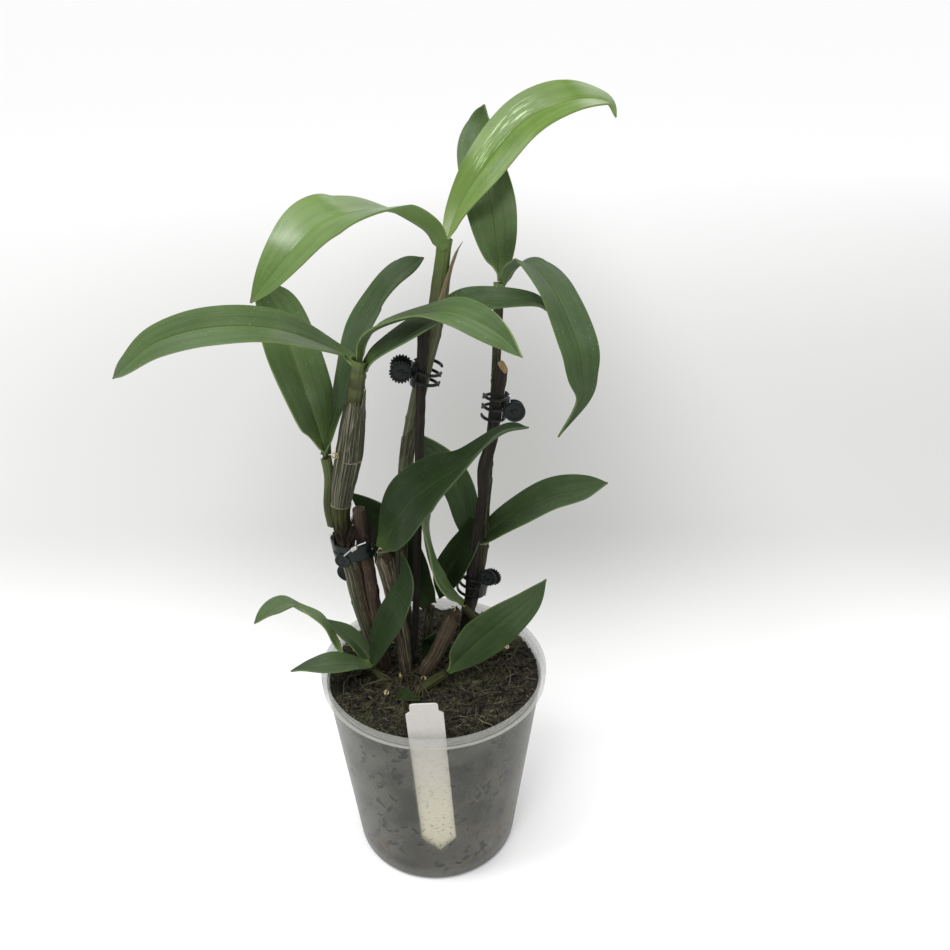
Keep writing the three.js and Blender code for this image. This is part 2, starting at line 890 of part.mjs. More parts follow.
const stemMaterial = (name) => {
  if (name.startsWith("shoot")) return MATERIALS.shoot;
  return name.includes("old") ? MATERIALS.oldCane : MATERIALS.cane;
};
const uprights = [];
for (const [name, rows] of Object.entries(STEMS)) {
  orchid.add(named(name, stem(rows, STEM_SIDES), stemMaterial(name)));
  uprights.push(solidOf(stem(rows, STEM_SIDES, GAP)));
}
for (const [name, rows] of Object.entries(STAKES)) {
  orchid.add(named(name, stem(rows, STAKE_SIDES), MATERIALS.stake));
  uprights.push(solidOf(stem(rows, STAKE_SIDES, GAP)));
}

const clips = new THREE.Group();
for (const [name, clip] of Object.entries(CLIPS)) {
  clips.add(clipGroup(name, clip));
}
orchid.add(clips);

// Each leaf clasps what it grows from and is notched where it lies against a neighbour.
const clasped = [...uprights];
for (const [name, leaf] of Object.entries(LEAVES)) {
  const whole = solidOf(blade(leaf));
  const neighbours = clasped.filter((solid) => !whole.intersect(solid).isEmpty());
  const material = name.startsWith("leaf_centre") ? MATERIALS.newLeaf : MATERIALS.leaf;
  orchid.add(named(name, geometryOf(largest(cut(whole, neighbours))), material));
  clasped.push(solidOf(blade(leaf, GAP)));
}

const slotSolid = solidOf(slot, labelMatrix());
const soil = bark([...clasped, slotSolid]);
orchid.add(named("bark", geometryOf(soil), MATERIALS.bark));

export default orchid;
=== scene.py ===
"""A leafy dendrobium orchid in a clear nursery pot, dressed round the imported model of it.

The tables give millimetres, with x to the right, y away from the front and z up from the table.
"""

from __future__ import annotations

import json
import logging
import math
import random
from bisect import bisect_left
from collections.abc import Callable, Iterator, Sequence
from contextlib import contextmanager
from dataclasses import dataclass
from enum import Enum
from functools import cached_property
from typing import Any

import bpy
from bpy.types import Material, NodeSocket, Object
from mathutils import Matrix, Quaternion, Vector, noise

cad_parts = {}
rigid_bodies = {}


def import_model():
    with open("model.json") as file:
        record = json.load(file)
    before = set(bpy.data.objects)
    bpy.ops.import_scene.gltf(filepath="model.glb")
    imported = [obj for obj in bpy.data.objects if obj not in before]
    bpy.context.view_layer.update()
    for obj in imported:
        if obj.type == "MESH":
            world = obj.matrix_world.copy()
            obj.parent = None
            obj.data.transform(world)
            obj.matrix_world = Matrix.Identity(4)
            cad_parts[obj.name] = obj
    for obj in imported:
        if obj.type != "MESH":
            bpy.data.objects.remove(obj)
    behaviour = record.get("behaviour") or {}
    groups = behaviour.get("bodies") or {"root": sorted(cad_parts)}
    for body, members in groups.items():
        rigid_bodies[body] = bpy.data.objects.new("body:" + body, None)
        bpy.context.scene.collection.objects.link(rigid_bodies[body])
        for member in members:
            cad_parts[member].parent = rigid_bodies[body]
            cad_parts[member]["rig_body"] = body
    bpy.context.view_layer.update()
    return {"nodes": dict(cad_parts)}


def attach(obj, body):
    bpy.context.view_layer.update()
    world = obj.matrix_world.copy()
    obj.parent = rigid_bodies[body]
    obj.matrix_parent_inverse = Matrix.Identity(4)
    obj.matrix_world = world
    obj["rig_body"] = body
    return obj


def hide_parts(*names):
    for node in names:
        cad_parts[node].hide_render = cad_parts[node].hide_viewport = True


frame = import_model()

log = logging.getLogger("orchid")

MM = 0.001
WELD = 0.002 * MM
FRONT = Vector((0, -1, 0))
UP = Vector((0, 0, 1))
FULL_TURN = 2 * math.pi

Rows = tuple[tuple[float, ...], ...]
Color = tuple[float, float, float]
Point = tuple[float, float, float]
Outline = list[tuple[float, float]]
Place = Callable[[float, float], Vector]
Path = Callable[[float], tuple[Vector, Vector]]
Layer = tuple["Value", Color]


# ---------- small helpers ----------


def smooth(low: float, high: float, x: float) -> float:
    """Eases from 0 at low to 1 at high."""
    t = min(max((x - low) / (high - low), 0.0), 1.0)
    return t * t * (3 - 2 * t)


def bell(x: float, width: float) -> float:
    """A bump that is 1 at 0 and fades out over the width."""
    return math.exp(-((x / width) ** 2))


def blunt(past: float, least: float = 0.02) -> float:
    """The share of a radius that a round end leaves, with past from 0 where it starts to 1 at its tip."""
    return math.sqrt(max(least, 1 - max(0.0, past) ** 2))


def level(turn: float) -> Vector:
    """The level unit vector at this angle from x, in radians."""
    return Vector((math.cos(turn), math.sin(turn), 0))


def alone(*objects: Object) -> None:
    """Selects these objects and nothing else, with the first one active."""
    bpy.ops.object.select_all(action="DESELECT")
    for obj in objects:
        obj.select_set(True)
    bpy.context.view_layer.objects.active = objects[0]


@contextmanager
def edit_mode(obj: Object) -> Iterator[None]:
    """Opens edit mode on one object with all of it selected."""
    alone(obj)
    bpy.ops.object.mode_set(mode="EDIT")
    bpy.ops.mesh.select_mode(type="VERT")
    bpy.ops.mesh.select_all(action="SELECT")
    yield
    bpy.ops.object.mode_set(mode="OBJECT")


def added(primitive: Callable[..., Any], **settings: Any) -> Object:
    """Adds a primitive with nothing else selected.

    Args:
        primitive: The operator that adds it.
        settings: What the operator is given.

    Returns:
        The new object.
    """
    bpy.ops.object.select_all(action="DESELECT")
    primitive(**settings)
    return bpy.context.active_object


def apply_modifier(obj: Object, kind: str, **settings: Any) -> None:
    """Adds a modifier and applies it.

    Args:
        obj: The object.
        kind: The modifier's type.
        settings: Its properties.
    """
    alone(obj)
    modifier = obj.modifiers.new(kind.title(), kind)
    for name, value in settings.items():
        setattr(modifier, name, value)
    bpy.ops.object.modifier_apply(modifier=modifier.name)


def thicken(sheet: Object, thick: float, **settings: Any) -> None:
    """Gives a sheet its thickness in millimetres, half of it to each side."""
    apply_modifier(sheet, "SOLIDIFY", thickness=thick * MM, offset=0, **settings)


def cut_out(obj: Object, tool: Object) -> None:
    """Cuts a tool out of an object and deletes it."""
    apply_modifier(obj, "BOOLEAN", operation="DIFFERENCE", solver="EXACT", object=tool)
    bpy.data.objects.remove(tool)


def blank(name: str, across: int, along: int) -> Object:
    """Adds a flat grid whose x and y both run from -1 to 1, with a UV map.

    Args:
        name: The object's name.
        across: Faces along x.
        along: Faces along y.

    Returns:
        The new object.
    """
    obj = added(bpy.ops.mesh.primitive_grid_add, x_subdivisions=across, y_subdivisions=along, size=2)
    obj.name = obj.data.name = name
    return obj


def shape(obj: Object, place: Place) -> None:
    """Moves each vertex of a blank from its x and y to its place, which is in millimetres."""
    for vertex in obj.data.vertices:
        vertex.co = place(vertex.co.x, vertex.co.y) * MM
    obj.data.update()


def close_seam(obj: Object) -> None:
    """Merges the seam and the poles of a rolled blank, fills its ends and points its faces outwards."""
    with edit_mode(obj):
        bpy.ops.mesh.remove_doubles(threshold=WELD)
        bpy.ops.mesh.fill_holes(sides=0)
        bpy.ops.mesh.normals_make_consistent(inside=False)


def joined(name: str, parts: Sequence[Object]) -> Object:
    """Joins objects into one.

    Args:
        name: The name of the one.
        parts: The objects.

    Returns:
        The joined object.
    """
    alone(*parts)
    if len(parts) > 1:
        bpy.ops.object.join()
    obj = bpy.context.active_object
    obj.name = obj.data.name = name
    return obj


def finish(
    piece: Object,
    skins: Sequence[Material],
    slot: str,
    node: str,
    angle: float = 0,
    replaces: bool = True,
    **wall: Any,
) -> None:
    """Gives a modelled piece its skins, its wall and its shading, and rides it on the body of a node.

    Args:
        piece: The modelled piece.
        skins: Its materials, the main one first.
        slot: The record's material slot, which is not used.
        node: The node whose body carries it.
        angle: Edges sharper than this, in degrees, stay sharp, and 0 leaves every face flat.
        replaces: Whether the piece stands for the node.
        wall: What thicken needs, for a sheet.
    """
    for skin in skins:
        piece.data.materials.append(skin)
    if wall:
        thicken(piece, **wall)
    if angle:
        alone(piece)
        bpy.ops.object.shade_smooth_by_angle(angle=math.radians(angle))
    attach(piece, frame["nodes"][node]["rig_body"])
    if replaces:
        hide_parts(node)
    log.info("%s: %d faces", piece.name, len(piece.data.polygons))


@dataclass(frozen=True)
class Spot:
    """One place on a route, with the way it goes and the way that its front faces."""

    point: Vector
    along: Vector
    face: Vector
    value: float

    def arm(self, turn: float) -> Vector:
        """The unit vector that stands off the route at this angle from its front, in radians."""
        return Quaternion(self.along, turn) @ self.face


class Route:
    """A smooth line through rows of x, y, z and one more value."""

    LENGTH_STEPS = 60
    HEIGHT_STEPS = 240

    def __init__(self, rows: Rows) -> None:
        """Adds a row past each end, so that the line leaves its ends straight."""
        knots = [Vector(row) for row in rows]
        self.knots = [2 * knots[0] - knots[1], *knots, 2 * knots[-1] - knots[-2]]
        self.spots: dict[float, Spot] = {}

    def at(self, t: float) -> Spot:
        """The place at t, from 0 at the first row to 1 at the last."""
        if t not in self.spots:
            self.spots[t] = self._work_out(t)
        return self.spots[t]

    def _work_out(self, t: float) -> Spot:
        """Works out the place at t."""
        spans = len(self.knots) - 3
        k = min(int(t * spans), spans - 1)
        u = t * spans - k
        a, b, c, d = self.knots[k : k + 4]
        square, cube = 2 * a - 5 * b + 4 * c - d, 3 * b - a - 3 * c + d
        spot = (2 * b + (c - a) * u + square * u**2 + cube * u**3) / 2
        along = ((c - a) + 2 * square * u + 3 * cube * u**2).to_3d().normalized()
        face = (FRONT - along * FRONT.dot(along)).normalized()
        return Spot(spot.to_3d(), along, face, spot[3])

    def length(self) -> float:
        """The length in millimetres."""
        points = [self.at(k / self.LENGTH_STEPS).point for k in range(self.LENGTH_STEPS + 1)]
        return sum((b - a).length for a, b in zip(points, points[1:]))

    def at_height(self, z: float) -> Spot:
        """Finds a height on a rising route.

        Args:
            z: The height in millimetres.

        Returns:
            The place where the route reaches it, or its top drawn on in a straight line.
        """
        top = self.at(1.0)
        if z >= top.point.z:
            reach = (z - top.point.z) / top.along.z
            return Spot(top.point + top.along * reach, top.along, top.face, top.value)
        heights = [self.at(k / self.HEIGHT_STEPS).point.z for k in range(self.HEIGHT_STEPS + 1)]
        k = max(bisect_left(heights, z), 1)
        share = (z - heights[k - 1]) / (heights[k] - heights[k - 1])
        return self._work_out((k - 1 + max(share, 0.0)) / self.HEIGHT_STEPS)


Girth = Callable[[float, float, Spot], float]


def own_radius(turn: float, t: float, spot: Spot) -> float:
    """The radius that the route's own rows give."""
    return spot.value


def tube(name: str, route: Route, around: int, along: int, radius: Girth = own_radius) -> Object:
    """Rolls a blank into a closed tube about a route.

    Args:
        name: The object's name.
        route: The line that it follows.
        around: Faces round it.
        along: Faces along it.
        radius: The radius from the angle off the front, t and the spot.

    Returns:
        The tube, with u round it and v along it.
    """
    obj = blank(name, around, along)

    def place(x: float, y: float) -> Vector:
        """The place on the tube of one vertex of the blank."""
        t = (y + 1) / 2
        spot = route.at(t)
        turn = math.pi * x
        return spot.point + spot.arm(turn) * radius(turn, t, spot)

    shape(obj, place)
    close_seam(obj)
    return obj


def turned_point(outline: Outline, y: float) -> tuple[float, float]:
    """The point of an outline that a row of a blank stands for."""
    last = len(outline) - 1
    return outline[round((y + 1) / 2 * last)]


def lathe(name: str, outline: Outline, around: int) -> Object:
    """Rolls a blank into a closed body about +Z.

    Args:
        name: The object's name.
        outline: Points of radius and height, from one end to the other.
        around: Faces round it.

    Returns:
        The body.
    """
    obj = blank(name, around, len(outline) - 1)

    def place(x: float, y: float) -> Vector:
        """The place on the body of one vertex of the blank."""
        radius, height = turned_point(outline, y)
        return Vector((radius * math.sin(math.pi * x), radius * math.cos(math.pi * x), height))

    shape(obj, place)
    close_seam(obj)
    return obj


def rounded(points: Outline, radius: float, steps: int = 4) -> Outline:
    """Rounds the corners of an open outline, apart from its ends.

    Args:
        points: The outline.
        radius: How far from its corner each curve starts.
        steps: Faces along each curve.

    Returns:
        The softer outline.
    """
    soft = [points[0]]
    for before, corner, after in zip(points, points[1:], points[2:]):
        here = Vector(corner)
        arms = []
        for other in (before, after):
            way = Vector(other) - here
            arms.append(way * min(0.5, radius / way.length))
        for k in range(steps + 1):
            u = k / steps
            soft.append(tuple(here + arms[0] * (1 - u) ** 2 + arms[1] * u**2))
    return [*soft, points[-1]]


# ---------- shader helpers ----------


def operator(operation: str, reflected: bool = False) -> Callable[["Value", Any], "Value"]:
    """The method of one operator, reflected where the value stands on its right."""

    def method(self: "Value", other: "Value | float") -> "Value":
        """Adds the operator's Math node."""
        values = (other, self) if reflected else (self, other)
        return self.math(operation, *values)

    return method


class Value:
    """A shader socket that can stand in an expression."""

    __add__, __radd__ = operator("ADD"), operator("ADD", reflected=True)
    __sub__, __rsub__ = operator("SUBTRACT"), operator("SUBTRACT", reflected=True)
    __mul__, __rmul__ = operator("MULTIPLY"), operator("MULTIPLY", reflected=True)
    __truediv__, __rtruediv__ = operator("DIVIDE"), operator("DIVIDE", reflected=True)

    def __init__(self, graph: "Graph", socket: NodeSocket) -> None:
        """Wraps a socket of a graph."""
        self.graph = graph
        self.socket = socket

    def math(self, operation: str, *values: "Value | float", clamp: bool = False) -> "Value":
        """Adds a Math node on these values."""
        sockets = dict(enumerate(values))
        return self.graph.node("ShaderNodeMath", {"operation": operation, "use_clamp": clamp}, sockets)

    def __abs__(self) -> "Value":
        """The size without its sign."""
        return self.math("ABSOLUTE", self)

    def sine(self) -> "Value":
        """The sine of an angle in radians."""
        return self.math("SINE", self)

    def held(self) -> "Value":
        """The value kept from 0 to 1."""
        return self.math("ADD", self, 0.0, clamp=True)

    def eased(self, low: float, high: float) -> "Value":
        """Eases from 0 at low to 1 at high."""
        settings = {"interpolation_type": "SMOOTHSTEP"}
        sockets = {"Value": self, "From Min": low, "From Max": high}
        return self.graph.node("ShaderNodeMapRange", settings, sockets)


class Graph:
    """The nodes of one material."""

    def __init__(self, name: str) -> None:
        """Makes the material with nothing but its output and its main shader."""
        self.material = bpy.data.materials.new(name)
        self.material.use_nodes = True
        self.tree = self.material.node_tree
        self.shader = self.tree.nodes["Principled BSDF"]

    def node(
        self,
        kind: str,
        settings: dict[str, Any] | None = None,
        sockets: dict[str | int, Any] | None = None,
        output: str | int = 0,
    ) -> Value:
        """Adds a node.

        Args:
            kind: The node's type.
            settings: Its properties.
            sockets: Values or links of its inputs, by name or number.
            output: The output that is handed back.

        Returns:
            The output as a value.
        """
        node = self.tree.nodes.new(kind)
        for name, value in (settings or {}).items():
            setattr(node, name, value)
        for name, value in (sockets or {}).items():
            self.connect(node.inputs[name], value)
        return Value(self, node.outputs[output])

    def connect(self, socket: NodeSocket, value: Any) -> None:
        """Links a value to a socket, or sets the socket's own value."""
        if isinstance(value, Value):
            self.tree.links.new(value.socket, socket)
        elif isinstance(value, tuple) and socket.type == "RGBA":
            socket.default_value = (*value, 1.0)
        else:
            socket.default_value = value

    def place(self) -> Value:
        """The place on the object in metres."""
        return self.node("ShaderNodeTexCoord", output="Object")

    def uv(self) -> Value:
        """The piece's own UV place."""
        return self.node("ShaderNodeTexCoord", output="UV")

    def mapped(self, source: Value, scale: Point = (1, 1, 1), turn: Point = (0, 0, 0)) -> Value:
        """Scales a place and turns it by angles in radians."""
        return self.node("ShaderNodeMapping", None, {"Vector": source, "Rotation": turn, "Scale": scale})

    def parts(self, source: Value) -> tuple[Value, ...]:
        """The three parts of a place."""
        split = self.node("ShaderNodeSeparateXYZ", None, {"Vector": source})
        return tuple(Value(self, output) for output in split.socket.node.outputs)

    def wrapped(self, around: float, along: float) -> Value:
        """A place that runs round a rolled piece without a seam, with its turns and its length scaled."""
        u, v, _ = self.parts(self.uv())
        turn = u * FULL_TURN
        sockets = {"X": (turn + math.pi / 2).sine() * around, "Y": turn.sine() * around, "Z": v * along}
        return self.node("ShaderNodeCombineXYZ", None, sockets)

    def grain(self, place: Value, scale: float, detail: float = 2, rough: float = 0.55) -> Value:
        """Noise from 0 to 1."""
        sockets = {"Vector": place, "Scale": scale, "Detail": detail, "Roughness": rough}
        return self.node("ShaderNodeTexNoise", None, sockets)

    def strands(
        self, across: float, along: float, detail: float = 2, rough: float = 0.5, slant: float = 0.0
    ) -> Value:
        """Noise drawn out along a blade, with its scale across and along, and its slant in radians."""
        return self.grain(self.mapped(self.uv(), (across, along, 1), (0, 0, slant)), 1.0, detail, rough)

    def cells(self, place: Value, scale: float) -> Value:
        """The distance from the nearest of many scattered points."""
        return self.node("ShaderNodeTexVoronoi", None, {"Vector": place, "Scale": scale})

    def facing(self, blend: float) -> Value:
        """How far the surface turns away, from 0 to 1."""
        return self.node("ShaderNodeLayerWeight", sockets={"Blend": blend}, output="Facing")

    def mix(self, share: Value, low: Value | Color, high: Value | Color) -> Value:
        """Mixes two colours."""
        settings = {"data_type": "RGBA", "clamp_factor": True}
        return self.node("ShaderNodeMix", settings, {0: share, 6: low, 7: high}, 2)

    def layered(self, color: Value, *layers: Layer) -> Value:
        """Lays colours over a first one, in turn and each through its mask."""
        for mask, layer in layers:
            color = self.mix(mask, color, layer)
        return color

    def bump(self, height: Value, depth: float, strength: float) -> Value:
        """A normal from a height, with its depth in metres."""
        sockets = {"Strength": strength, "Distance": depth, "Height": height}
        return self.node("ShaderNodeBump", None, sockets)

    def dress(
        self, color: Value, rough: Value | float, gloss: float = 0.5, **inputs: Any
    ) -> Material:
        """Sets the main shader's inputs and hands the material back.

        Args:
            color: The base colour.
            rough: The roughness.
            gloss: The strength of the shine.
            inputs: Other inputs by name.

        Returns:
            The finished material.
        """
        inputs |= {"Base Color": color, "Roughness": rough, "Specular IOR Level": gloss}
        for name, value in inputs.items():
            self.connect(self.shader.inputs[name], value)
        return self.material


# ---------- finishes ----------


def shaded(color: Color, share: float, lift: float = 0.0) -> Color:
    """A colour made darker or lighter, with a little white added."""
    return tuple(c * share + lift for c in color)


class Age(Enum):
    """How old a leaf is, which sets its greens; the OLD greens are partly painted shade."""

    NEW = "new"
    YOUNG = "young"
    GROWN = "grown"
    DARK = "dark"
    # Its deepest greens are partly painted shade, for leaves that face away from the overhead light.
    OLD = "old"


# Each age's deep green, its light green, and the yellower one of its base and its margin.
GREENS: dict[Age, tuple[Color, Color, Color]] = {
    Age.NEW: ((0.075, 0.138, 0.020), (0.127, 0.210, 0.035), (0.150, 0.205, 0.052)),
    Age.YOUNG: ((0.068, 0.124, 0.028), (0.114, 0.188, 0.045), (0.120, 0.185, 0.052)),
    Age.GROWN: ((0.053, 0.094, 0.029), (0.082, 0.133, 0.044), (0.150, 0.205, 0.060)),
    Age.DARK: ((0.029, 0.054, 0.018), (0.047, 0.080, 0.028), (0.090, 0.140, 0.036)),
    # The OLD greens are partly painted shade.
    Age.OLD: ((0.010, 0.022, 0.006), (0.017, 0.033, 0.010), (0.045, 0.075, 0.020)),
}


@dataclass(frozen=True)
class LeafFinish:
    """Glossy leaf skin with parallel veins, a grooved midrib, pale edges, dust, painted shade and painted
    glints.

    The veins are counted across the blade, the relief is in metres, and the others are shares.
    """

    age: Age
    veins: float = 75
    dust: float = 0.6
    gloss: float = 0.32
    rough: float = 0.38
    # The share of painted shade that darkens the crease along the midrib.
    midrib: float = 0.3
    relief: float = 0.00028
    # The share of painted shade that darkens the blade towards its tip and towards its base.
    tip: float = 0.25
    # The share of a painted highlight: pale glint streaks on one part of the blade.
    glint_streaks: float = 0.0

    VEIN_REACH = 1.6
    DUST = (0.52, 0.56, 0.48)
    # The pale green of the painted highlight's glint streaks.
    GLINT_GREEN = (0.46, 0.62, 0.30)
    DRY_TIP = (0.10, 0.09, 0.04)
    UNDER_GLOSS = 0.25
    UNDER_ROUGH = 0.52
    UNDER_RELIEF = 0.0003

    def upper(self) -> Material:
        """The upper skin."""
        g = Graph(f"leaf upper {self.age.value}")
        deep, light, base = GREENS[self.age]
        u, v, _ = g.parts(g.uv())
        off = abs(u * 2 - 1)
        place = g.place()
        cloud = g.grain(place, 34, 4, 0.6)
        bands = g.strands(9, 0.9)
        lines = g.strands(self.veins, self.VEIN_REACH)
        # The far half and the foot take painted shade, darker towards the tip and the base.
        tip_shade, foot = v.eased(0.6, 1.0), 1 - v.eased(0.1, 0.45)
        # The groove takes painted shade along the midrib's crease.
        groove, beside_groove = 1 - off.eased(0.006, 0.03), off.eased(0.02, 0.05) - off.eased(0.05, 0.16)
        clasp, dry_tip, margin = 1 - v.eased(0.0, 0.22), v.eased(0.965, 1.0), off.eased(0.95, 1.0)
        specks = g.grain(place, 1500, 1, 0.5).eased(0.68, 0.76) * g.grain(place, 85).eased(0.40, 0.58)
        scratches = g.strands(110, 9, 3, 0.65, 0.012).eased(0.62, 0.68) * g.grain(place, 60).eased(0.50, 0.64)
        bloom = g.grain(place, 26, 3, 0.6).eased(0.45, 0.75)
        dust = (specks * 0.6 + scratches * 0.5 + bloom * 0.14).held()
        color = g.layered(
            g.mix((cloud * 0.55 + bands * 0.45).eased(0.36, 0.64), deep, light),
            (lines.eased(0.42, 0.7) * 0.32, light),
            # Painted shade: darker towards the tip and towards the base.
            (tip_shade * self.tip, shaded(deep, 0.7)),
            (foot * self.tip * 0.8, deep),
            # Painted shade in the midrib's crease.
            (groove * self.midrib, shaded(deep, 0.55)),
            (beside_groove * 0.22, base),
            (clasp * 0.7, base),
            (dry_tip * 0.6, self.DRY_TIP),
            (margin * 0.55, base),
            (dust * self.dust, self.DUST),
        )
        # Painted highlight: pale glint streaks within one window of the blade.
        if self.glint_streaks:
            window = (v.eased(0.30, 0.37) - v.eased(0.50, 0.60)) * (u.eased(0.12, 0.20) - u.eased(0.44, 0.5))
            glint_streaks = g.strands(46, 12, 3, 0.65, 0.02).eased(0.55, 0.60) * window
            color = g.mix(glint_streaks * self.glint_streaks, color, self.GLINT_GREEN)
        rough = self.rough + cloud * 0.08 + lines * 0.10 + specks * 0.2
        relief = lines * 0.8 + bands * 0.8 + g.grain(place, 420) * 0.2
        return g.dress(color, rough, self.gloss, Normal=g.bump(relief, self.relief, 0.75))

    def under(self) -> Material:
        """The paler, duller skin below."""
        g = Graph(f"leaf under {self.age.value}")
        deep, light, base = GREENS[self.age]
        u, v, _ = g.parts(g.uv())
        place = g.place()
        lines = g.strands(self.veins * 1.3, self.VEIN_REACH)
        midrib, clasp = 1 - abs(u * 2 - 1).eased(0.01, 0.05), 1 - v.eased(0.0, 0.2)
        color = g.layered(
            g.mix(g.grain(place, 40, 3).eased(0.3, 0.7), light, shaded(light, 1.2, 0.008)),
            (lines.eased(0.4, 0.7) * 0.5, deep),
            (midrib * 0.5, base),
            (clasp * 0.75, base),
        )
        normal = g.bump(lines + g.grain(place, 600) * 0.4, self.UNDER_RELIEF, 0.7)
        return g.dress(color, self.UNDER_ROUGH + lines * 0.1, self.UNDER_GLOSS, Normal=normal)

    def edge(self) -> Material:
        """The thin pale margin."""
        g = Graph(f"leaf edge {self.age.value}")
        _, light, base = GREENS[self.age]
        color = g.mix(g.grain(g.place(), 300), light, shaded(base, 1.1, 0.01))
        return g.dress(color, 0.5, self.UNDER_GLOSS)


LEAF_FINISHES = (
    LeafFinish(Age.NEW, dust=0.3, gloss=0.3, rough=0.2, midrib=0.1, relief=0.00007, tip=0.6, glint_streaks=0.8),
    LeafFinish(Age.YOUNG, dust=0.3, gloss=0.34, rough=0.2, midrib=0.14, relief=0.00009, tip=0.3),
    LeafFinish(Age.GROWN, dust=0.5, gloss=0.2, rough=0.34, midrib=0.22),
    LeafFinish(Age.DARK, dust=0.35, gloss=0.14),
    LeafFinish(Age.OLD, dust=0.15, gloss=0.07, rough=0.42),
)


@dataclass(frozen=True)
class StemFinish:
    """Skin that runs along a rolled piece: ribs and streaks, blotches and fine fibres.

    The ring sets how many streaks stand round the piece, and the reach how often they break along it.
    """

    name: str
    main: Color
    second: Color
    streak: Color
    streaks: float = 0.5
    ring: float = 3.5
    reach: float = 8
    rough: float = 0.6
    relief: float = 0.0004
    top: Color | None = None
    hem: Color | None = None

    GLOSS = 0.15
    RIBS_PER_STREAK = 2.2
    RIB_REACH = 0.7

    def material(self) -> Material:
        """Makes the material."""
        g = Graph(self.name)
        place = g.place()
        lines = g.grain(g.wrapped(self.ring, self.reach), 1.0, 3, 0.6)
        ribs = g.grain(g.wrapped(self.ring * self.RIBS_PER_STREAK, self.reach * self.RIB_REACH), 1.0, 2, 0.5)
        fibres = g.grain(place, 1300)
        _, v, _ = g.parts(g.uv())
        color = g.mix(g.grain(place, 85, 4, 0.65).eased(0.38, 0.62), self.main, self.second)
        if self.top:
            color = g.mix(v.eased(0.3, 0.95), color, self.top)
        color = g.layered(
            color,
            (lines.eased(0.52, 0.62) * self.streaks, self.streak),
            (ribs.eased(0.56, 0.64) * (self.streaks * 0.6), self.streak),
            ((1 - ribs.eased(0.36, 0.44)) * 0.7, shaded(self.main, 0.4)),
            (fibres.eased(0.62, 0.72) * 0.45, shaded(self.main, 0.35)),
        )
        if self.hem:
            color = g.mix(1 - v.eased(0.012, 0.03), color, self.hem)
        normal = g.bump(lines * 0.7 + ribs + fibres * 0.25, self.relief, 0.9)
        return g.dress(color, self.rough + fibres * 0.2, self.GLOSS, Normal=normal)


@dataclass(frozen=True)
class ClipFinish:
    """Dark moulded plastic with a little dust."""

    plastic: Color = (0.0040, 0.0075, 0.0070)
    dust: Color = (0.024, 0.031, 0.028)
    rough: float = 0.30
    gloss: float = 0.22
    relief: float = 0.0001

    def material(self) -> Material:
        """Makes the material."""
        g = Graph("clip plastic")
        place = g.place()
        dust = g.grain(place, 700, 4, 0.7).eased(0.55, 0.75)
        color = g.mix(dust * 0.3, self.plastic, self.dust)
        rough = self.rough + g.grain(place, 260, 3) * 0.15 + dust * 0.25
        return g.dress(color, rough, self.gloss, Normal=g.bump(g.grain(place, 900), self.relief, 0.5))


@dataclass(frozen=True)
class SteelFinish:
    """Satin steel of the clips' pins."""

    dark: Color = (0.42, 0.42, 0.41)
    light: Color = (0.6, 0.6, 0.58)
    rough: float = 0.28

    def material(self) -> Material:
        """Makes the material."""
        g = Graph("pin steel")
        tone = g.grain(g.mapped(g.place(), (1, 1, 0.1)), 3000)
        return g.dress(g.mix(tone, self.dark, self.light), self.rough + tone * 0.2, Metallic=1.0)


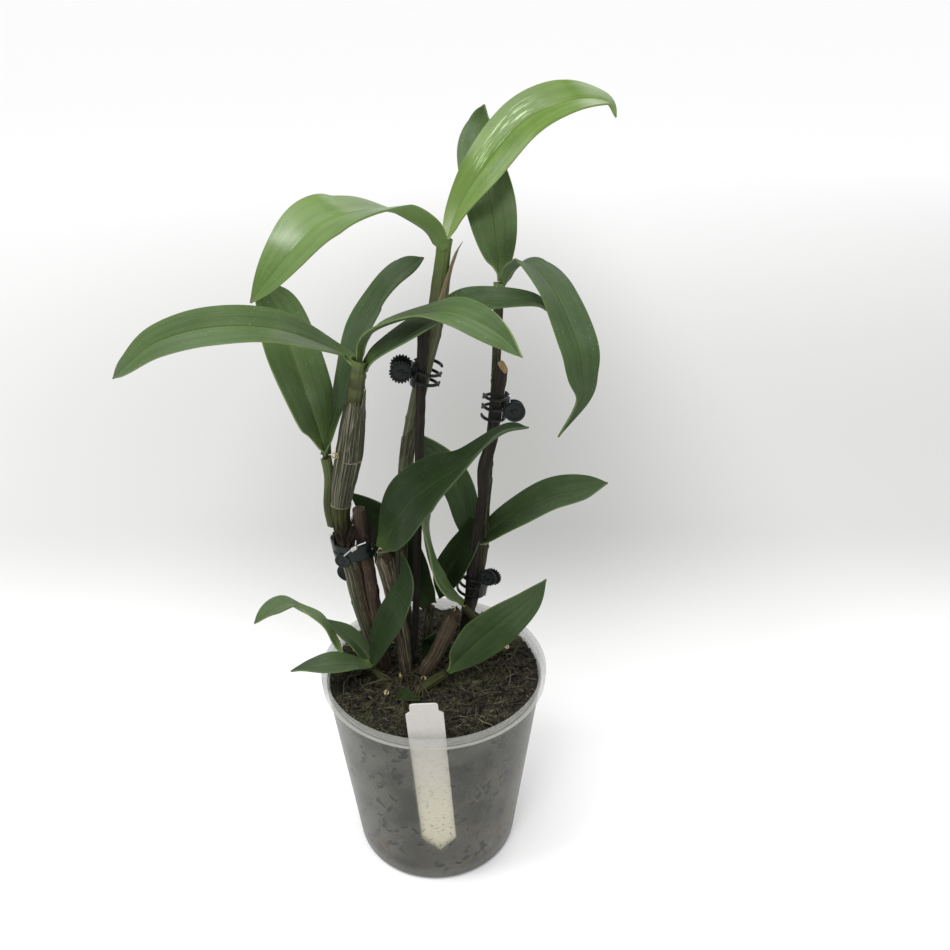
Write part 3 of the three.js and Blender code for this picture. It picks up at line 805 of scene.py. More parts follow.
@dataclass(frozen=True)
class PotFinish:
    """Clear plastic, milky where damp clouds it and flecked where the bark lies against it.

    The fields are in millimetres, and the sizes of the label's window below in metres.
    """

    fill: float
    rim: float
    label_tip: Point
    label_top: Point

    LABEL_EDGE = (0.0084, 0.0090)
    LABEL_POINT = 0.010
    POINT_FROM_TIP = 0.012
    POINT_DEPTH = 0.0088
    FLECK_TURNS = (-1.0, -0.45, 0.8)
    DARK_MILK = (0.058, 0.058, 0.049)
    PALE_MILK = (0.142, 0.141, 0.121)
    HAZE = (0.180, 0.179, 0.162)
    # Painted sheen: the lighter grey where the wall turns away from view.
    TURNED = (0.200, 0.199, 0.182)
    CHIP = (0.118, 0.096, 0.060)
    FLECK = (0.011, 0.010, 0.008)
    OVER_LABEL = (0.52, 0.50, 0.40)
    RIM = (0.44, 0.445, 0.41)
    BARE_FRONT = (0.60, 0.60, 0.56)
    # Painted shade: the bare wall above the mix is darker at the back.
    BARE_BACK = (0.27, 0.272, 0.255)
    # Painted shade: darker towards the foot, where the pot stands on the floor.
    FOOT = (0.085, 0.086, 0.079)
    GLOSS = 0.35

    def over_label(self, g: Graph, place: Value) -> Value:
        """Where the wall is clean, in front of the label."""
        x, y, z = g.parts(place)
        tip, top = self.label_tip, self.label_top
        lean = (top[0] - tip[0]) / (top[2] - tip[2])
        off = abs(x - (z - tip[2] * MM) * lean - tip[0] * MM)
        point = ((tip[2] * MM + self.POINT_FROM_TIP - z) / self.LABEL_POINT).held()
        return (1 - (off + point * self.POINT_DEPTH).eased(*self.LABEL_EDGE)) * (1 - y.eased(-0.01, 0.0))

    def flecks(self, g: Graph, place: Value, turn: float) -> Value:
        """Short crooked slits where the bark presses on the wall."""
        spot = g.mapped(g.mapped(place, turn=(turn * 0.4, turn, 0.4)), (1, 1, 0.38))
        off = g.cells(spot, 185) + (g.grain(spot, 700, 3, 0.65) - 0.5) * 0.5
        size = g.grain(place, 45).eased(0.30, 0.54)
        return 1 - (off - size * 0.16).eased(0.04, 0.08)

    def material(self) -> Material:
        """Makes the material."""
        g = Graph("pot plastic")
        place = g.place()
        _, y, z = g.parts(place)
        rim = z.eased((self.rim - 1.2) * MM, (self.rim - 0.2) * MM)
        bare = z.eased((self.fill - 2) * MM, (self.fill + 1.5) * MM)
        filled = 1 - bare
        foot = 1 - z.eased(0.004, 0.012)
        clear = self.over_label(g, place)
        cloud = g.grain(place, 42, 4, 0.6)
        haze = g.grain(place, 16, 3, 0.5)
        flecks = sum(self.flecks(g, place, turn) for turn in self.FLECK_TURNS)
        flecks = flecks.held() * filled * (1 - clear * 0.8)
        chips = g.grain(place, 95, 5, 0.65).eased(0.52, 0.57) * haze.eased(0.44, 0.56) * filled
        # How far the wall turns away from view, which drives a painted sheen.
        turned = g.facing(0.35).eased(0.3, 0.9)
        color = g.layered(
            g.mix(cloud.eased(0.34, 0.66), self.DARK_MILK, self.PALE_MILK),
            (haze.eased(0.35, 0.7) * 0.3, self.HAZE),
            # Painted sheen where the wall turns away from view.
            (turned * 0.6, self.TURNED),
            (chips * 0.7, self.CHIP),
            (flecks, self.FLECK),
            (clear * (1 - flecks), self.OVER_LABEL),
            (rim, self.RIM),
            (bare * (1 - rim), self.BARE_FRONT),
            # Painted shade on the back of the bare wall.
            (bare * y.eased(-0.02, 0.03), self.BARE_BACK),
            # Painted shade towards the foot.
            (foot * 0.8, self.FOOT),
        )
        alpha = 0.46 + cloud * 0.08 + chips * 0.10 + flecks * 0.5 + foot * 0.4
        alpha = (alpha + turned * 0.3) * filled * (1 - clear * 0.75) + bare * 0.16 + rim * 0.14
        rough = 0.28 + cloud * filled * 0.2
        normal = g.bump(g.grain(place, 120) * filled, 0.00008, 0.25)
        g.material.surface_render_method = "BLENDED"
        return g.dress(color, rough, self.GLOSS, Alpha=alpha, Normal=normal)


@dataclass(frozen=True)
class MixFinish:
    """Damp bark mix: near-black crumbs, brown chips and mossy tufts."""

    name: str
    dark: Color = (0.007, 0.006, 0.004)
    brown: Color = (0.034, 0.033, 0.020)
    moss: Color = (0.046, 0.050, 0.020)
    straw: Color = (0.180, 0.155, 0.095)
    rough: float = 0.62
    gloss: float = 0.2
    relief: float = 0.0012

    def material(self) -> Material:
        """Makes the material."""
        g = Graph(self.name)
        place = g.place()
        crumbs = g.grain(place, 420, 6, 0.7)
        patches = g.grain(place, 55, 4, 0.6)
        bits = g.grain(place, 1000).eased(0.61, 0.67) * g.grain(place, 75, 3).eased(0.46, 0.60)
        color = g.layered(
            g.mix(crumbs.eased(0.42, 0.68), self.dark, self.brown),
            ((patches * crumbs * 2.4).eased(0.62, 0.85), self.moss),
            (bits, self.straw),
        )
        return g.dress(color, self.rough + crumbs * 0.3, self.gloss, Normal=g.bump(crumbs, self.relief, 0.9))


@dataclass(frozen=True)
class LabelFinish:
    """White plastic strip, clouded and dirty towards its point. The fill is the mix's height."""

    fill: float
    clean: Color = (0.49, 0.47, 0.455)
    sunk: Color = (0.66, 0.62, 0.46)
    cloud: Color = (0.45, 0.44, 0.36)
    dirt: Color = (0.10, 0.085, 0.055)
    rough: float = 0.5
    relief: float = 0.0001

    def material(self) -> Material:
        """Makes the material."""
        g = Graph("label plastic")
        place = g.place()
        _, _, z = g.parts(place)
        low, point = 1 - z.eased(0.02, (self.fill + 6) * MM), 1 - z.eased(0.024, 0.05)
        dirt = g.grain(place, 520, 3, 0.6).eased(0.575, 0.62) * (0.1 + low * 0.5 + point * 0.4)
        tint = g.grain(place, 70, 3)
        color = g.layered(g.mix(low, self.clean, self.sunk), (tint * 0.25, self.cloud), (dirt, self.dirt))
        normal = g.bump(g.grain(place, 300, 3), self.relief, 0.5)
        return g.dress(color, self.rough + tint * 0.15, Normal=normal)


# ---------- the leaves ----------


@dataclass(frozen=True)
class Leaf:
    """One folded blade that clasps its stem at the base.

    The rib's rows give x, y, z and the turn of the upper face in degrees, from base to tip.
    """

    node: str
    half: float
    widest: float
    stalk: float
    rib: Rows
    age: Age = Age.GROWN

    FOLD = math.radians(14)
    CUP = 0.3
    SWELL = 1.3
    TAPER = 2.2
    THICK = 0.75
    TIP = 0.25
    CLASP = 0.08
    CLASP_CURL = math.radians(95)
    GROOVE = 0.10
    GROOVE_WIDTH = 0.5
    WAVE = 0.5
    WAVE_RATE = 9
    WAVE_SHIFT = 2.2
    ACROSS = 24
    LEAST_ALONG = 36
    STEP = 1.6
    SMOOTH = 50

    def outline(self, t: float) -> float:
        """Half width at t in millimetres."""
        rise = math.sin(math.pi / 2 * min(t / self.widest, 1)) ** self.SWELL
        fall = max(0.0, (t - self.widest) / (1 - self.widest)) ** self.TAPER
        return max(self.half * (self.stalk + (1 - self.stalk) * rise) * (1 - fall), self.TIP)

    def section(self, c: float, t: float, width: float) -> tuple[float, float]:
        """Shapes the blade from side to side.

        Args:
            c: The place across, from -1 at one edge to 1 at the other.
            t: The place along, from 0 at the base to 1 at the tip.
            width: Half the blade's width there.

        Returns:
            How far across and how high the blade lies.
        """
        opened = smooth(0, self.CLASP, t)
        start = self.FOLD * (1 + self.CUP) * opened
        bend = self.CLASP_CURL * (1 - opened) - 2 * self.FOLD * self.CUP
        end = start + bend * abs(c)
        across = width * (math.sin(end) - math.sin(start)) / bend
        lift = width * (math.cos(start) - math.cos(end)) / bend
        groove = self.GROOVE * bell(c * width, self.GROOVE_WIDTH)
        groove *= smooth(0, 0.1, t) * (1 - smooth(0.9, 1, t))
        phase = self.WAVE_RATE * t + self.WAVE_SHIFT * math.copysign(1, c) + self.half
        ripple = self.WAVE * c * c * math.sin(phase) * smooth(0.1, 0.3, t) * (1 - smooth(0.85, 1, t))
        return math.copysign(across, c), lift - groove + ripple

    def build(self) -> Object:
        """Makes the blade."""
        route = Route(self.rib)
        along = max(self.LEAST_ALONG, round(route.length() / self.STEP))
        blade = blank(f"{self.node}_blade", self.ACROSS, along)

        def place(x: float, y: float) -> Vector:
            """The place on the blade of one vertex of the blank."""
            t = (y + 1) / 2
            spot = route.at(t)
            normal = spot.arm(math.radians(spot.value))
            side = spot.along.cross(normal)
            across, lift = self.section(x, t, self.outline(t))
            return spot.point + side * across + normal * lift

        shape(blade, place)
        return blade

    def dress(self, blade: Object, skins: dict[Age, list[Material]]) -> None:
        """Gives the blade its three skins, its thickness and its seat.

        Args:
            blade: The blade.
            skins: The upper skin, the one below and the margin's, for each age.
        """
        slot = "new_leaf" if self.node.startswith("leaf_centre") else "leaf"
        wall = {"thick": self.THICK, "material_offset": 1, "material_offset_rim": 2}
        finish(blade, skins[self.age], slot, self.node, self.SMOOTH, **wall)


LEAVES = (
    Leaf(
        "leaf_centre_right", 11.2, 0.56, 0.22,
        (
            (8.4, 12.4, 319, -50), (14, 21, 332, -35), (24, 25, 347, -30), (41, 32, 365, -45),
            (60, 33, 373, -60), (75, 41, 372, -75), (80, 38, 366, -75),
        ),
        Age.NEW,
    ),
    Leaf(
        "leaf_centre_left", 14, 0.65, 0.27,
        (
            (7.2, 9, 317.5, 145), (2, 9, 326.5, 130), (-12, -2, 336, 115), (-24, -23, 340, 90),
            (-36, -32, 338, 60), (-47, -40, 329, 45), (-62, -44, 312, 25),
        ),
        Age.YOUNG,
    ),
    Leaf(
        "leaf_right_upright", 11.2, 0.46, 0.22,
        (
            (31, 20, 301.5, 65), (31, 24, 309, 35), (29, 25, 324, 5), (27, 34, 336, -10), (23, 44, 352, -20),
            (24, 49, 363, -35), (25, 48, 370, -40),
        ),
    ),
    Leaf(
        "leaf_right_hanging", 9, 0.35, 0.22,
        (
            (33, 17, 300, -145), (37, 18, 307, -125), (44, 13, 310, -95), (53, -8, 305, -50),
            (61, -28, 290, -20), (63, -31, 279, -10), (64, -28, 267, -35), (55, -29, 250, -45),
        ),
        Age.DARK,
    ),
    Leaf(
        "leaf_left_arching", 7.1, 0.65, 0.35,
        (
            (-28, -2, 271, -110), (-26, -1, 281, -120), (-18, -7, 290, -105), (2, -17, 299, -90),
            (15, -27, 302, -50), (30, -39, 298, -5), (38, -53, 294, 10),
        ),
    ),
    Leaf(
        "leaf_left_reaching", 10, 0.35, 0.22,
        (
            (-27, 1, 268, -55), (-20, -8, 278, -80), (-6, -11, 288, -80), (7, -6, 294, -85),
            (20, -3, 299, -70), (44, 2, 298, -70), (53, 2, 293, -65),
        ),
        Age.DARK,
    ),
    Leaf(
        "leaf_left_long", 8.6, 0.35, 0.22,
        (
            (-30, -3, 270, 75), (-37, 5, 274, 95), (-60, -13, 291, 65), (-84, -22, 295, 40),
            (-104, -27, 291, 30), (-118, -26, 281, 35), (-127, -21, 273, 30),
        ),
    ),
    Leaf(
        "leaf_side_right", 11.6, 0.65, 0.22,
        (
            (-47, 2, 226, -60), (-42, 8, 242, -60), (-36, 13, 259, -60), (-30, 19, 277, -65),
            (-21, 26, 291, -70), (-11, 21, 304, -70), (-1, 19, 312, -45),
        ),
        Age.DARK,
    ),
    Leaf(
        "leaf_side_left", 13, 0.37, 0.22,
        (
            (-47, 4, 225, 70), (-50, 4, 240, 55), (-53, 3, 253, 50), (-60, 12, 272, 35), (-65, 18, 288, 25),
            (-69, 17, 298, 30), (-70, 15, 308, 30),
        ),
    ),
    Leaf(
        "leaf_stub", 14.7, 0.35, 0.31,
        (
            (-22, -11, 183, -75), (-17, -12, 194, -60), (-7, -22, 214, -55), (4, -28, 227, -65),
            (14, -31, 236, -85), (31, -31, 252, -105), (42, -39, 259, -120),
        ),
        Age.OLD,
    ),
    Leaf(
        "leaf_right_inner_up", 9.1, 0.5, 0.41,
        (
            (23, 19, 164, -15), (18, 21, 179, -20), (15, 23, 194, -20), (9, 25, 207, -15), (0, 26, 218, -15),
            (-9, 25, 228, -20),
        ),
        Age.DARK,
    ),
    Leaf(
        "leaf_right_inner_down", 9.2, 0.59, 0.38,
        ((25, 20, 191, 50), (20, 16, 176, 50), (13, 15, 163, 50), (7, 14, 152, 40), (3, 11, 141, 40)),
        Age.OLD,
    ),
    Leaf(
        "leaf_right_low", 9.4, 0.49, 0.39,
        (
            (26, 16, 172, -75), (30, 15, 179, -65), (43, 10, 192, -65), (57, 4, 204, -65), (72, 0, 210, -60),
            (81, -4, 215, -65),
        ),
        Age.DARK,
    ),
    Leaf(
        "leaf_rear", 12.2, 0.39, 0.45,
        (
            (-2, 19, 132, 5), (-11, 23, 146, 10), (-18, 22, 163, 5), (-20, 22, 177, 5), (-29, 20, 187, 0),
            (-40, 22, 196, 5),
        ),
        Age.OLD,
    ),
    Leaf(
        "leaf_front_upright", 8.7, 0.48, 0.22,
        (
            (-31, -5, 110, -60), (-27, -10, 126, -50), (-21, -13, 142, -50), (-16, -18, 155, -50),
            (-10, -16, 170, -55), (-13, -13, 184, -25),
        ),
        Age.OLD,
    ),
    Leaf(
        "leaf_olive_shoot", 8.5, 0.65, 0.35,
        (
            (15, 8, 139, 100), (10, 3, 148, 95), (5, -2, 157, 90), (0, -3, 169, 90), (-3, -2, 187, 85),
            (-2, -8, 206, 45),
        ),
    ),
    Leaf(
        "leaf_low_right", 11.3, 0.42, 0.22,
        (
            (7, -15, 116, 30), (13, -11, 121, 15), (25, -11, 135, -5), (34, -17, 149, -5), (45, -21, 163, 5),
            (53, -24, 176, 10),
        ),
        Age.DARK,
    ),
    Leaf(
        "leaf_low_left_front", 7.5, 0.41, 0.42,
        (
            (-31, -7, 113, 110), (-39, -11, 117, 100), (-49, -15, 120, 90), (-59, -18, 121, 95),
            (-68, -22, 122, 105),
        ),
        Age.DARK,
    ),
    Leaf(
        "leaf_low_left_arching", 7.4, 0.61, 0.22,
        (
            (-46, -6, 120, 75), (-50, -2, 126, 85), (-56, 0, 135, 100), (-66, 3, 140, 120),
            (-72, 1, 145, 120), (-78, -10, 148, 105), (-83, -20, 149, 100),
        ),
    ),
    Leaf(
        "leaf_low_left_small", 6.2, 0.44, 0.45,
        ((-32, -3, 112, 75), (-35, 0, 115, 75), (-41, 3, 121, 80), (-47, 4, 127, 80), (-54, 6, 132, 85)),
        Age.DARK,
    ),
    Leaf(
        "leaf_soil_centre", 4.9, 0.54, 0.36,
        ((-5, 2, 103, -15), (-2, 7, 114, -15), (1, 5, 120, -5), (7, 5, 125, -10)),
        Age.OLD,
    ),
    Leaf(
        "leaf_soil_front", 3.7, 0.5, 0.37,
        ((-24, -18, 103, -90), (-18, -20, 106, -85), (-13, -24, 108, -80), (-6, -27, 108.5, -75)),
        Age.OLD,
    ),
)


# ---------- the canes and the stakes ----------


class Skin(Enum):
    """What covers a stem, a sheath or a fibre."""

    GREEN = "green"
    OLIVE = "olive"
    STRIPED = "striped"
    OLD = "old"
    STAKE = "stake"
    RED_STAKE = "red stake"
    CUT_WOOD = "cut wood"
    PAPER = "paper"
    BROWN_PAPER = "brown paper"
    FRESH_SHEATH = "fresh sheath"
    OLIVE_SHEATH = "olive sheath"
    STRAW = "straw"
    TAN = "tan"
    RUST = "rust"
    HAIR = "hair"
    GREEN_RIM = "green rim"
    PALE_RIM = "pale rim"
    CREAM = "cream"
    FIBRE = "fibre"
    ROOT = "root"


STEM_SKINS = {
    Skin.GREEN: StemFinish(
        "cane green", (0.030, 0.042, 0.014), (0.045, 0.055, 0.020), (0.085, 0.085, 0.036), 0.4
    ),
    Skin.OLIVE: StemFinish(
        "shoot olive", (0.042, 0.048, 0.014), (0.028, 0.030, 0.010), (0.080, 0.078, 0.028), 0.4, 3, 2
    ),
    Skin.STRIPED: StemFinish(
        "cane striped", (0.026, 0.026, 0.013), (0.044, 0.040, 0.021), (0.110, 0.100, 0.060), 0.6, 3.2, 7
    ),
    Skin.OLD: StemFinish(
        "cane old", (0.030, 0.022, 0.013), (0.048, 0.037, 0.022), (0.120, 0.102, 0.066), 0.7, 3.6, 5, 0.75,
        0.0006
    ),
    Skin.STAKE: StemFinish(
        "stake bark", (0.018, 0.0158, 0.0120), (0.025, 0.0215, 0.0165), (0.041, 0.037, 0.029), 0.35, 2.6, 6,
        0.75
    ),
    Skin.RED_STAKE: StemFinish(
        "stake red bark", (0.036, 0.025, 0.017), (0.050, 0.034, 0.023), (0.095, 0.066, 0.045), 0.5, 2.8, 6,
        0.75, 0.0006
    ),
    Skin.CUT_WOOD: StemFinish(
        "cut wood", (0.30, 0.20, 0.105), (0.24, 0.15, 0.075), (0.42, 0.31, 0.18), 0.6, 3, 3, 0.8
    ),
    Skin.PAPER: StemFinish(
        "dry sheath", (0.056, 0.058, 0.035), (0.036, 0.040, 0.024), (0.225, 0.215, 0.148), 0.95, 7.5, 1.6,
        0.7, 0.0007,
        hem=(0.26, 0.245, 0.165),
    ),
    Skin.BROWN_PAPER: StemFinish(
        "brown sheath", (0.052, 0.044, 0.028), (0.029, 0.025, 0.016), (0.170, 0.150, 0.102), 0.9, 5.4, 2,
        0.75, 0.0007
    ),
    Skin.FRESH_SHEATH: StemFinish(
        "fresh sheath", (0.076, 0.092, 0.040), (0.090, 0.108, 0.046), (0.115, 0.122, 0.064), 0.3, 2, 0.8,
        0.5, 0.0001,
        top=(0.116, 0.172, 0.046),
    ),
    Skin.OLIVE_SHEATH: StemFinish(
        "olive sheath", (0.055, 0.062, 0.024), (0.042, 0.050, 0.019), (0.090, 0.085, 0.036), 0.35, 2, 0.8,
        0.5, 0.0002,
        top=(0.078, 0.100, 0.034),
    ),
    Skin.STRAW: StemFinish(
        "straw sheath", (0.090, 0.096, 0.055), (0.062, 0.070, 0.038), (0.190, 0.185, 0.122), 0.7, 3.4, 1.2,
        0.6, 0.0004
    ),
    Skin.TAN: StemFinish(
        "tan sheath", (0.098, 0.090, 0.046), (0.070, 0.068, 0.036), (0.200, 0.165, 0.098), 0.5, 3, 1.2, 0.65,
        0.0004,
        top=(0.275, 0.215, 0.125),
    ),
    Skin.RUST: StemFinish(
        "rusty strip", (0.078, 0.058, 0.037), (0.052, 0.040, 0.026), (0.14, 0.11, 0.072), 0.7, 3, 3
    ),
    Skin.HAIR: StemFinish(
        "dark hair", (0.014, 0.010, 0.007), (0.030, 0.021, 0.014), (0.09, 0.07, 0.05), 0.5, 2, 2
    ),
    Skin.GREEN_RIM: StemFinish(
        "fresh sheath rim", (0.130, 0.125, 0.045), (0.160, 0.150, 0.060), (0.20, 0.18, 0.08)
    ),
    Skin.PALE_RIM: StemFinish(
        "dry sheath rim", (0.260, 0.245, 0.160), (0.170, 0.155, 0.095), (0.36, 0.34, 0.23), 0.6
    ),
    Skin.CREAM: StemFinish(
        "dry tips", (0.42, 0.36, 0.16), (0.50, 0.44, 0.24), (0.62, 0.56, 0.36), 0.5, 2, 1.5
    ),
    Skin.FIBRE: StemFinish(
        "moss fibre", (0.035, 0.036, 0.018), (0.140, 0.128, 0.075), (0.34, 0.30, 0.19), 0.4, 2, 2
    ),
    Skin.ROOT: StemFinish(
        "dry root", (0.075, 0.062, 0.036), (0.040, 0.033, 0.021), (0.150, 0.130, 0.085), 0.5, 2, 5
    ),
}


@dataclass(frozen=True)
class Stem:
    """A cane, shoot or stake. Its rows give x, y, z and the radius, from foot to top."""

    node: str
    rows: Rows
    skin: Skin
    ribs: int = 9
    rib_depth: float = 0.05
    joints: tuple[float, ...] = ()
    knobs: float = 0.05
    slot: str = "cane"
    slant: Point = (0, 0, 0)
    slant_drop: float = 0

    AROUND = 40
    LEAST_ALONG = 12
    STEP = 0.8
    ROUND_TOP = 0.5
    TWIST = 0.02
    JOINT_SWELL = 0.35
    JOINT_HEIGHT = 1.1
    DENT_ABOVE = 2.4
    DENT_HEIGHT = 1.2
    KNOB_LENGTH = 9
    KNOB_RATE = 1.7
    CUT_NEAR = 0.05
    CUT_LEVEL = 0.98
    SMOOTH = 50

    @cached_property
    def route(self) -> Route:
        """The line through its rows."""
        return Route(self.rows)

    @cached_property
    def length(self) -> float:
        """The length in millimetres."""
        return self.route.length()

    def swell(self, off: float) -> float:
        """How far a joint's ring stands out at this height off it, with the dent above it."""
        dent = 0.5 * bell(off - self.DENT_ABOVE, self.DENT_HEIGHT)
        return self.JOINT_SWELL * (bell(off, self.JOINT_HEIGHT) - dent)

    def girth(self, turn: float, spot: Spot) -> float:
        """The radius with ribs, knobs and a ring at every joint.

        Args:
            turn: The angle off the front, in radians.
            spot: The place on the stem's line.

        Returns:
            The radius in millimetres.
        """
        z = spot.point.z
        ribs = self.rib_depth * math.cos(self.ribs * turn + self.TWIST * z)
        around = Vector((math.sin(turn), math.cos(turn), z / self.KNOB_LENGTH))
        lumps = self.knobs * noise.noise(around * self.KNOB_RATE)
        return spot.value * (1 + ribs + lumps) + sum(self.swell(z - joint) for joint in self.joints)

    def radius(self, turn: float, t: float, spot: Spot) -> float:
        """The girth, rounded off at the top."""
        end = self.ROUND_TOP / self.length
        return self.girth(turn, spot) * blunt((t - 1 + end) / end)

    def build(self) -> Object:
        """Makes the stem."""
        along = max(self.LEAST_ALONG, round(self.length / self.STEP))
        return tube(f"{self.node}_stem", self.route, self.AROUND, along, self.radius)

    def cut(self, stem: Object) -> None:
        """Cuts the top off at a slant that faces the way the cut leans, and marks it for the second skin."""
        lean = Vector(self.slant).normalized()
        top = self.route.at(1.0).point - UP * self.slant_drop
        with edit_mode(stem):
            bpy.ops.mesh.bisect(plane_co=top * MM, plane_no=lean, use_fill=True, clear_outer=True)
        for face in stem.data.polygons:
            near = abs((face.center / MM - top).dot(lean)) < self.CUT_NEAR
            face.material_index = int(near and abs(face.normal.dot(lean)) > self.CUT_LEVEL)

    def dress(self, stem: Object, skins: dict[Skin, Material]) -> None:
        """Gives the stem its skin and its seat, with bare wood where it is cut.

        Args:
            stem: The stem.
            skins: The materials of all stems.
        """
        own = [skins[self.skin]]
        if any(self.slant):
            self.cut(stem)
            own.append(skins[Skin.CUT_WOOD])
        finish(stem, own, self.slot, self.node, self.SMOOTH)


STEMS = (
    Stem(
        "cane_left",
        (
            (-27.5, 8, 90, 2.6), (-28, 8, 101, 2.8), (-32, 7, 124, 3.2), (-36, 6, 144, 3.2),
            (-38, 5, 162, 3.3), (-41, 3, 180, 3.4), (-42, 2, 196, 3.5), (-40, 1, 210, 4.8),
            (-36, 0, 227, 5.3), (-33, 0, 245, 4.4), (-31, -1, 257, 3.2), (-29, -2, 269, 2.4),
        ),
        Skin.GREEN, ribs=11, rib_depth=0.04, joints=(116, 143, 176, 266),
    ),
    Stem(
        "cane_left_side",
        ((-46.6, 3, 188, 1), (-47.6, 3, 199, 1.1), (-46, 2, 215, 1.1), (-47, 2, 228, 1.3)),
        Skin.GREEN, ribs=5,
    ),
    Stem(
        "cane_centre",
        (
            (-9.5, 8, 90, 2.6), (-10, 8.5, 101, 2.8), (-13, 12, 116, 3), (-16, 15, 142, 3),
            (-15.5, 15, 167, 3), (-13.5, 14.5, 195, 3), (-10, 13, 226, 3), (-2, 12, 263, 3), (3, 12, 282, 3),
            (5, 12, 296, 3.4), (8, 12, 319, 2.2),
        ),
        Skin.STRIPED, ribs=9, joints=(120, 156, 198, 240, 281),
    ),
    Stem(
        "cane_right",
        (
            (12.5, 18, 90, 2.2), (13, 18, 103, 2.2), (18.5, 18, 131, 2.3), (22.5, 18, 149, 2.3),
            (24.5, 18, 168, 3), (25.5, 18, 188, 2.2), (27, 18, 210, 2.2), (30, 18, 254, 1.8),
            (31, 17, 290, 1.7), (31, 17, 302, 1.6),
        ),
        Skin.STRIPED, ribs=7, joints=(128, 168, 214, 256),
    ),
    Stem(
        "cane_old_stub",
        (
            (-13.5, -7, 90, 2.6), (-14, -7, 116, 2.9), (-16, -7, 138, 3.2), (-19, -7, 159, 3.3),
            (-21.5, -9, 177, 3.2), (-21.8, -10, 184, 2.4),
        ),
        Skin.OLD, slot="old_cane", joints=(118, 150, 178),
    ),
    Stem(
        "cane_rear",
        ((-5, 17, 90, 2.3), (-4, 17, 114, 2.3), (-2, 18, 132, 2.3)),
        Skin.STRIPED,
    ),
    Stem(
        "cane_old_leaning",
        ((-5.5, -7, 90, 3), (-4.5, -6, 107, 3.1), (2, -4, 120, 3.2), (12, -1, 142.5, 3)),
        Skin.OLD, slot="old_cane", joints=(112, 128),
    ),
    Stem(
        "shoot_olive",
        ((38, 16, 94, 2), (35.5, 14, 103, 2), (25.5, 8, 123.5, 2), (15, 5, 140.5, 1.9)),
        Skin.OLIVE, slot="shoot", joints=(109, 124),
    ),
    Stem(
        "shoot_front_left",
        ((-18, -17, 96, 1.8), (-20, -15, 104, 2), (-25, -10, 107, 2), (-31, -5, 111, 1.8)),
        Skin.OLIVE, slot="shoot",
    ),
    Stem(
        "shoot_left_low",
        ((-43, -2, 90, 1.8), (-45, -3, 107, 1.8), (-46.5, -5, 118, 1.6)),
        Skin.OLIVE, slot="shoot",
    ),
    Stem(
        "shoot_front_right",
        ((-13, -19, 97, 2.2), (-7, -18, 106, 2.6), (0, -16, 110.5, 2.6), (7, -15, 115, 2)),
        Skin.OLIVE, slot="shoot",
    ),
    Stem(
        "stake_left",
        ((-24, 0, 90, 3.2), (-25, 0, 117, 3.2), (-28.5, 0, 148, 3.1), (-30, -1, 166, 3), (-33, -3, 202, 3)),
        Skin.RED_STAKE, ribs=4, rib_depth=0.03, knobs=0.16, slot="stake",
    ),
    Stem(
        "stake_centre",
        (
            (-12.5, 1, 90, 1.75), (-11.5, 2, 112, 1.75), (-8.5, 3, 140, 1.75), (-4, 6, 237, 2.1),
            (-1, 7, 290, 2.4),
        ),
        Skin.STAKE, ribs=3, rib_depth=0.02, knobs=0.14, slot="stake",
    ),
    Stem(
        "stake_right",
        (
            (12.8, 9.4, 90, 2.5), (13.5, 10, 109, 2.5), (17.5, 11, 137, 2.5), (20.5, 12, 170, 2.5),
            (24.5, 12, 198, 2.6), (25, 12, 214, 3), (29, 12, 232, 2.6), (33.5, 12, 268, 2.5),
        ),
        Skin.STAKE, ribs=4, rib_depth=0.03, knobs=0.18, slot="stake", slant=(0.62, -0.45, 0.64), slant_drop=3,
    ),
)


# ---------- the sheaths, the roots and the dry bits ----------


@dataclass(frozen=True)
class Sheath:
    """A dry or green leaf sheath that wraps a stem from its foot up to a torn or pointed edge.

    The middle of the wrap faces the turn, in degrees off the front, and the shoulder is how much of the
    height its two long edges reach.
    """

    name: str
    node: str
    low: float
    high: float
    turn: float
    skin: Skin
    wrap: float = 300
    shoulder: float = 0.6
    flare: float = 0.4
    tear: float = 0.05
    lift: float = 0.15
    hem: float = 0.0

    THICK = 0.22
    ACROSS = 56
    ALONG = 30
    RIBS = 17
    RIB = 0.09
    TEARS = 9
    FINE_TEARS = 31
    NAME_SEED = 7.3
    POINTED = 1.3
    OPEN_EDGE = 0.35
    HEM_HEIGHT = 0.05
    SMOOTH = 60

    def build(self, stem: Stem) -> Object:
        """Makes the sheath.

        Args:
            stem: The stem that it wraps.

        Returns:
            The sheath, still without thickness.
        """
        sheath = blank(self.name, self.ACROSS, self.ALONG)
        half_wrap = math.radians(self.wrap) / 2
        seed = self.NAME_SEED * len(self.name) + self.low
        rib = 0 if self.skin == Skin.FRESH_SHEATH else self.RIB

        def place(x: float, y: float) -> Vector:
            """The place on the sheath of one vertex of the blank."""
            turn = math.radians(self.turn) + x * half_wrap
            torn = noise.noise(Vector((x * self.TEARS, seed, 0)))
            torn += 0.5 * noise.noise(Vector((x * self.FINE_TEARS, seed, 4)))
            reach = self.shoulder + (1 - self.shoulder) * (1 - abs(x)) ** self.POINTED + self.tear * torn
            rise = (y + 1) / 2 * reach
            spot = stem.route.at_height(self.low + (self.high - self.low) * rise)
            off = self.lift + rib * math.cos(self.RIBS * turn) + self.OPEN_EDGE * smooth(0.8, 1, abs(x))
            off += self.flare * max(rise, 0) ** 3 + self.hem * bell(y + 1, self.HEM_HEIGHT)
            return spot.point + spot.arm(turn) * (stem.girth(turn, spot) + off)

        shape(sheath, place)
        return sheath

    def dress(self, sheath: Object, skins: dict[Skin, Material]) -> None:
        """Gives the sheath its skin, its thickness and its seat."""
        own = [skins[self.skin], skins[RIM_SKINS.get(self.skin, Skin.PALE_RIM)]]
        wall = {"thick": self.THICK, "material_offset_rim": 1}
        finish(sheath, own, "old_cane", self.node, self.SMOOTH, replaces=False, **wall)


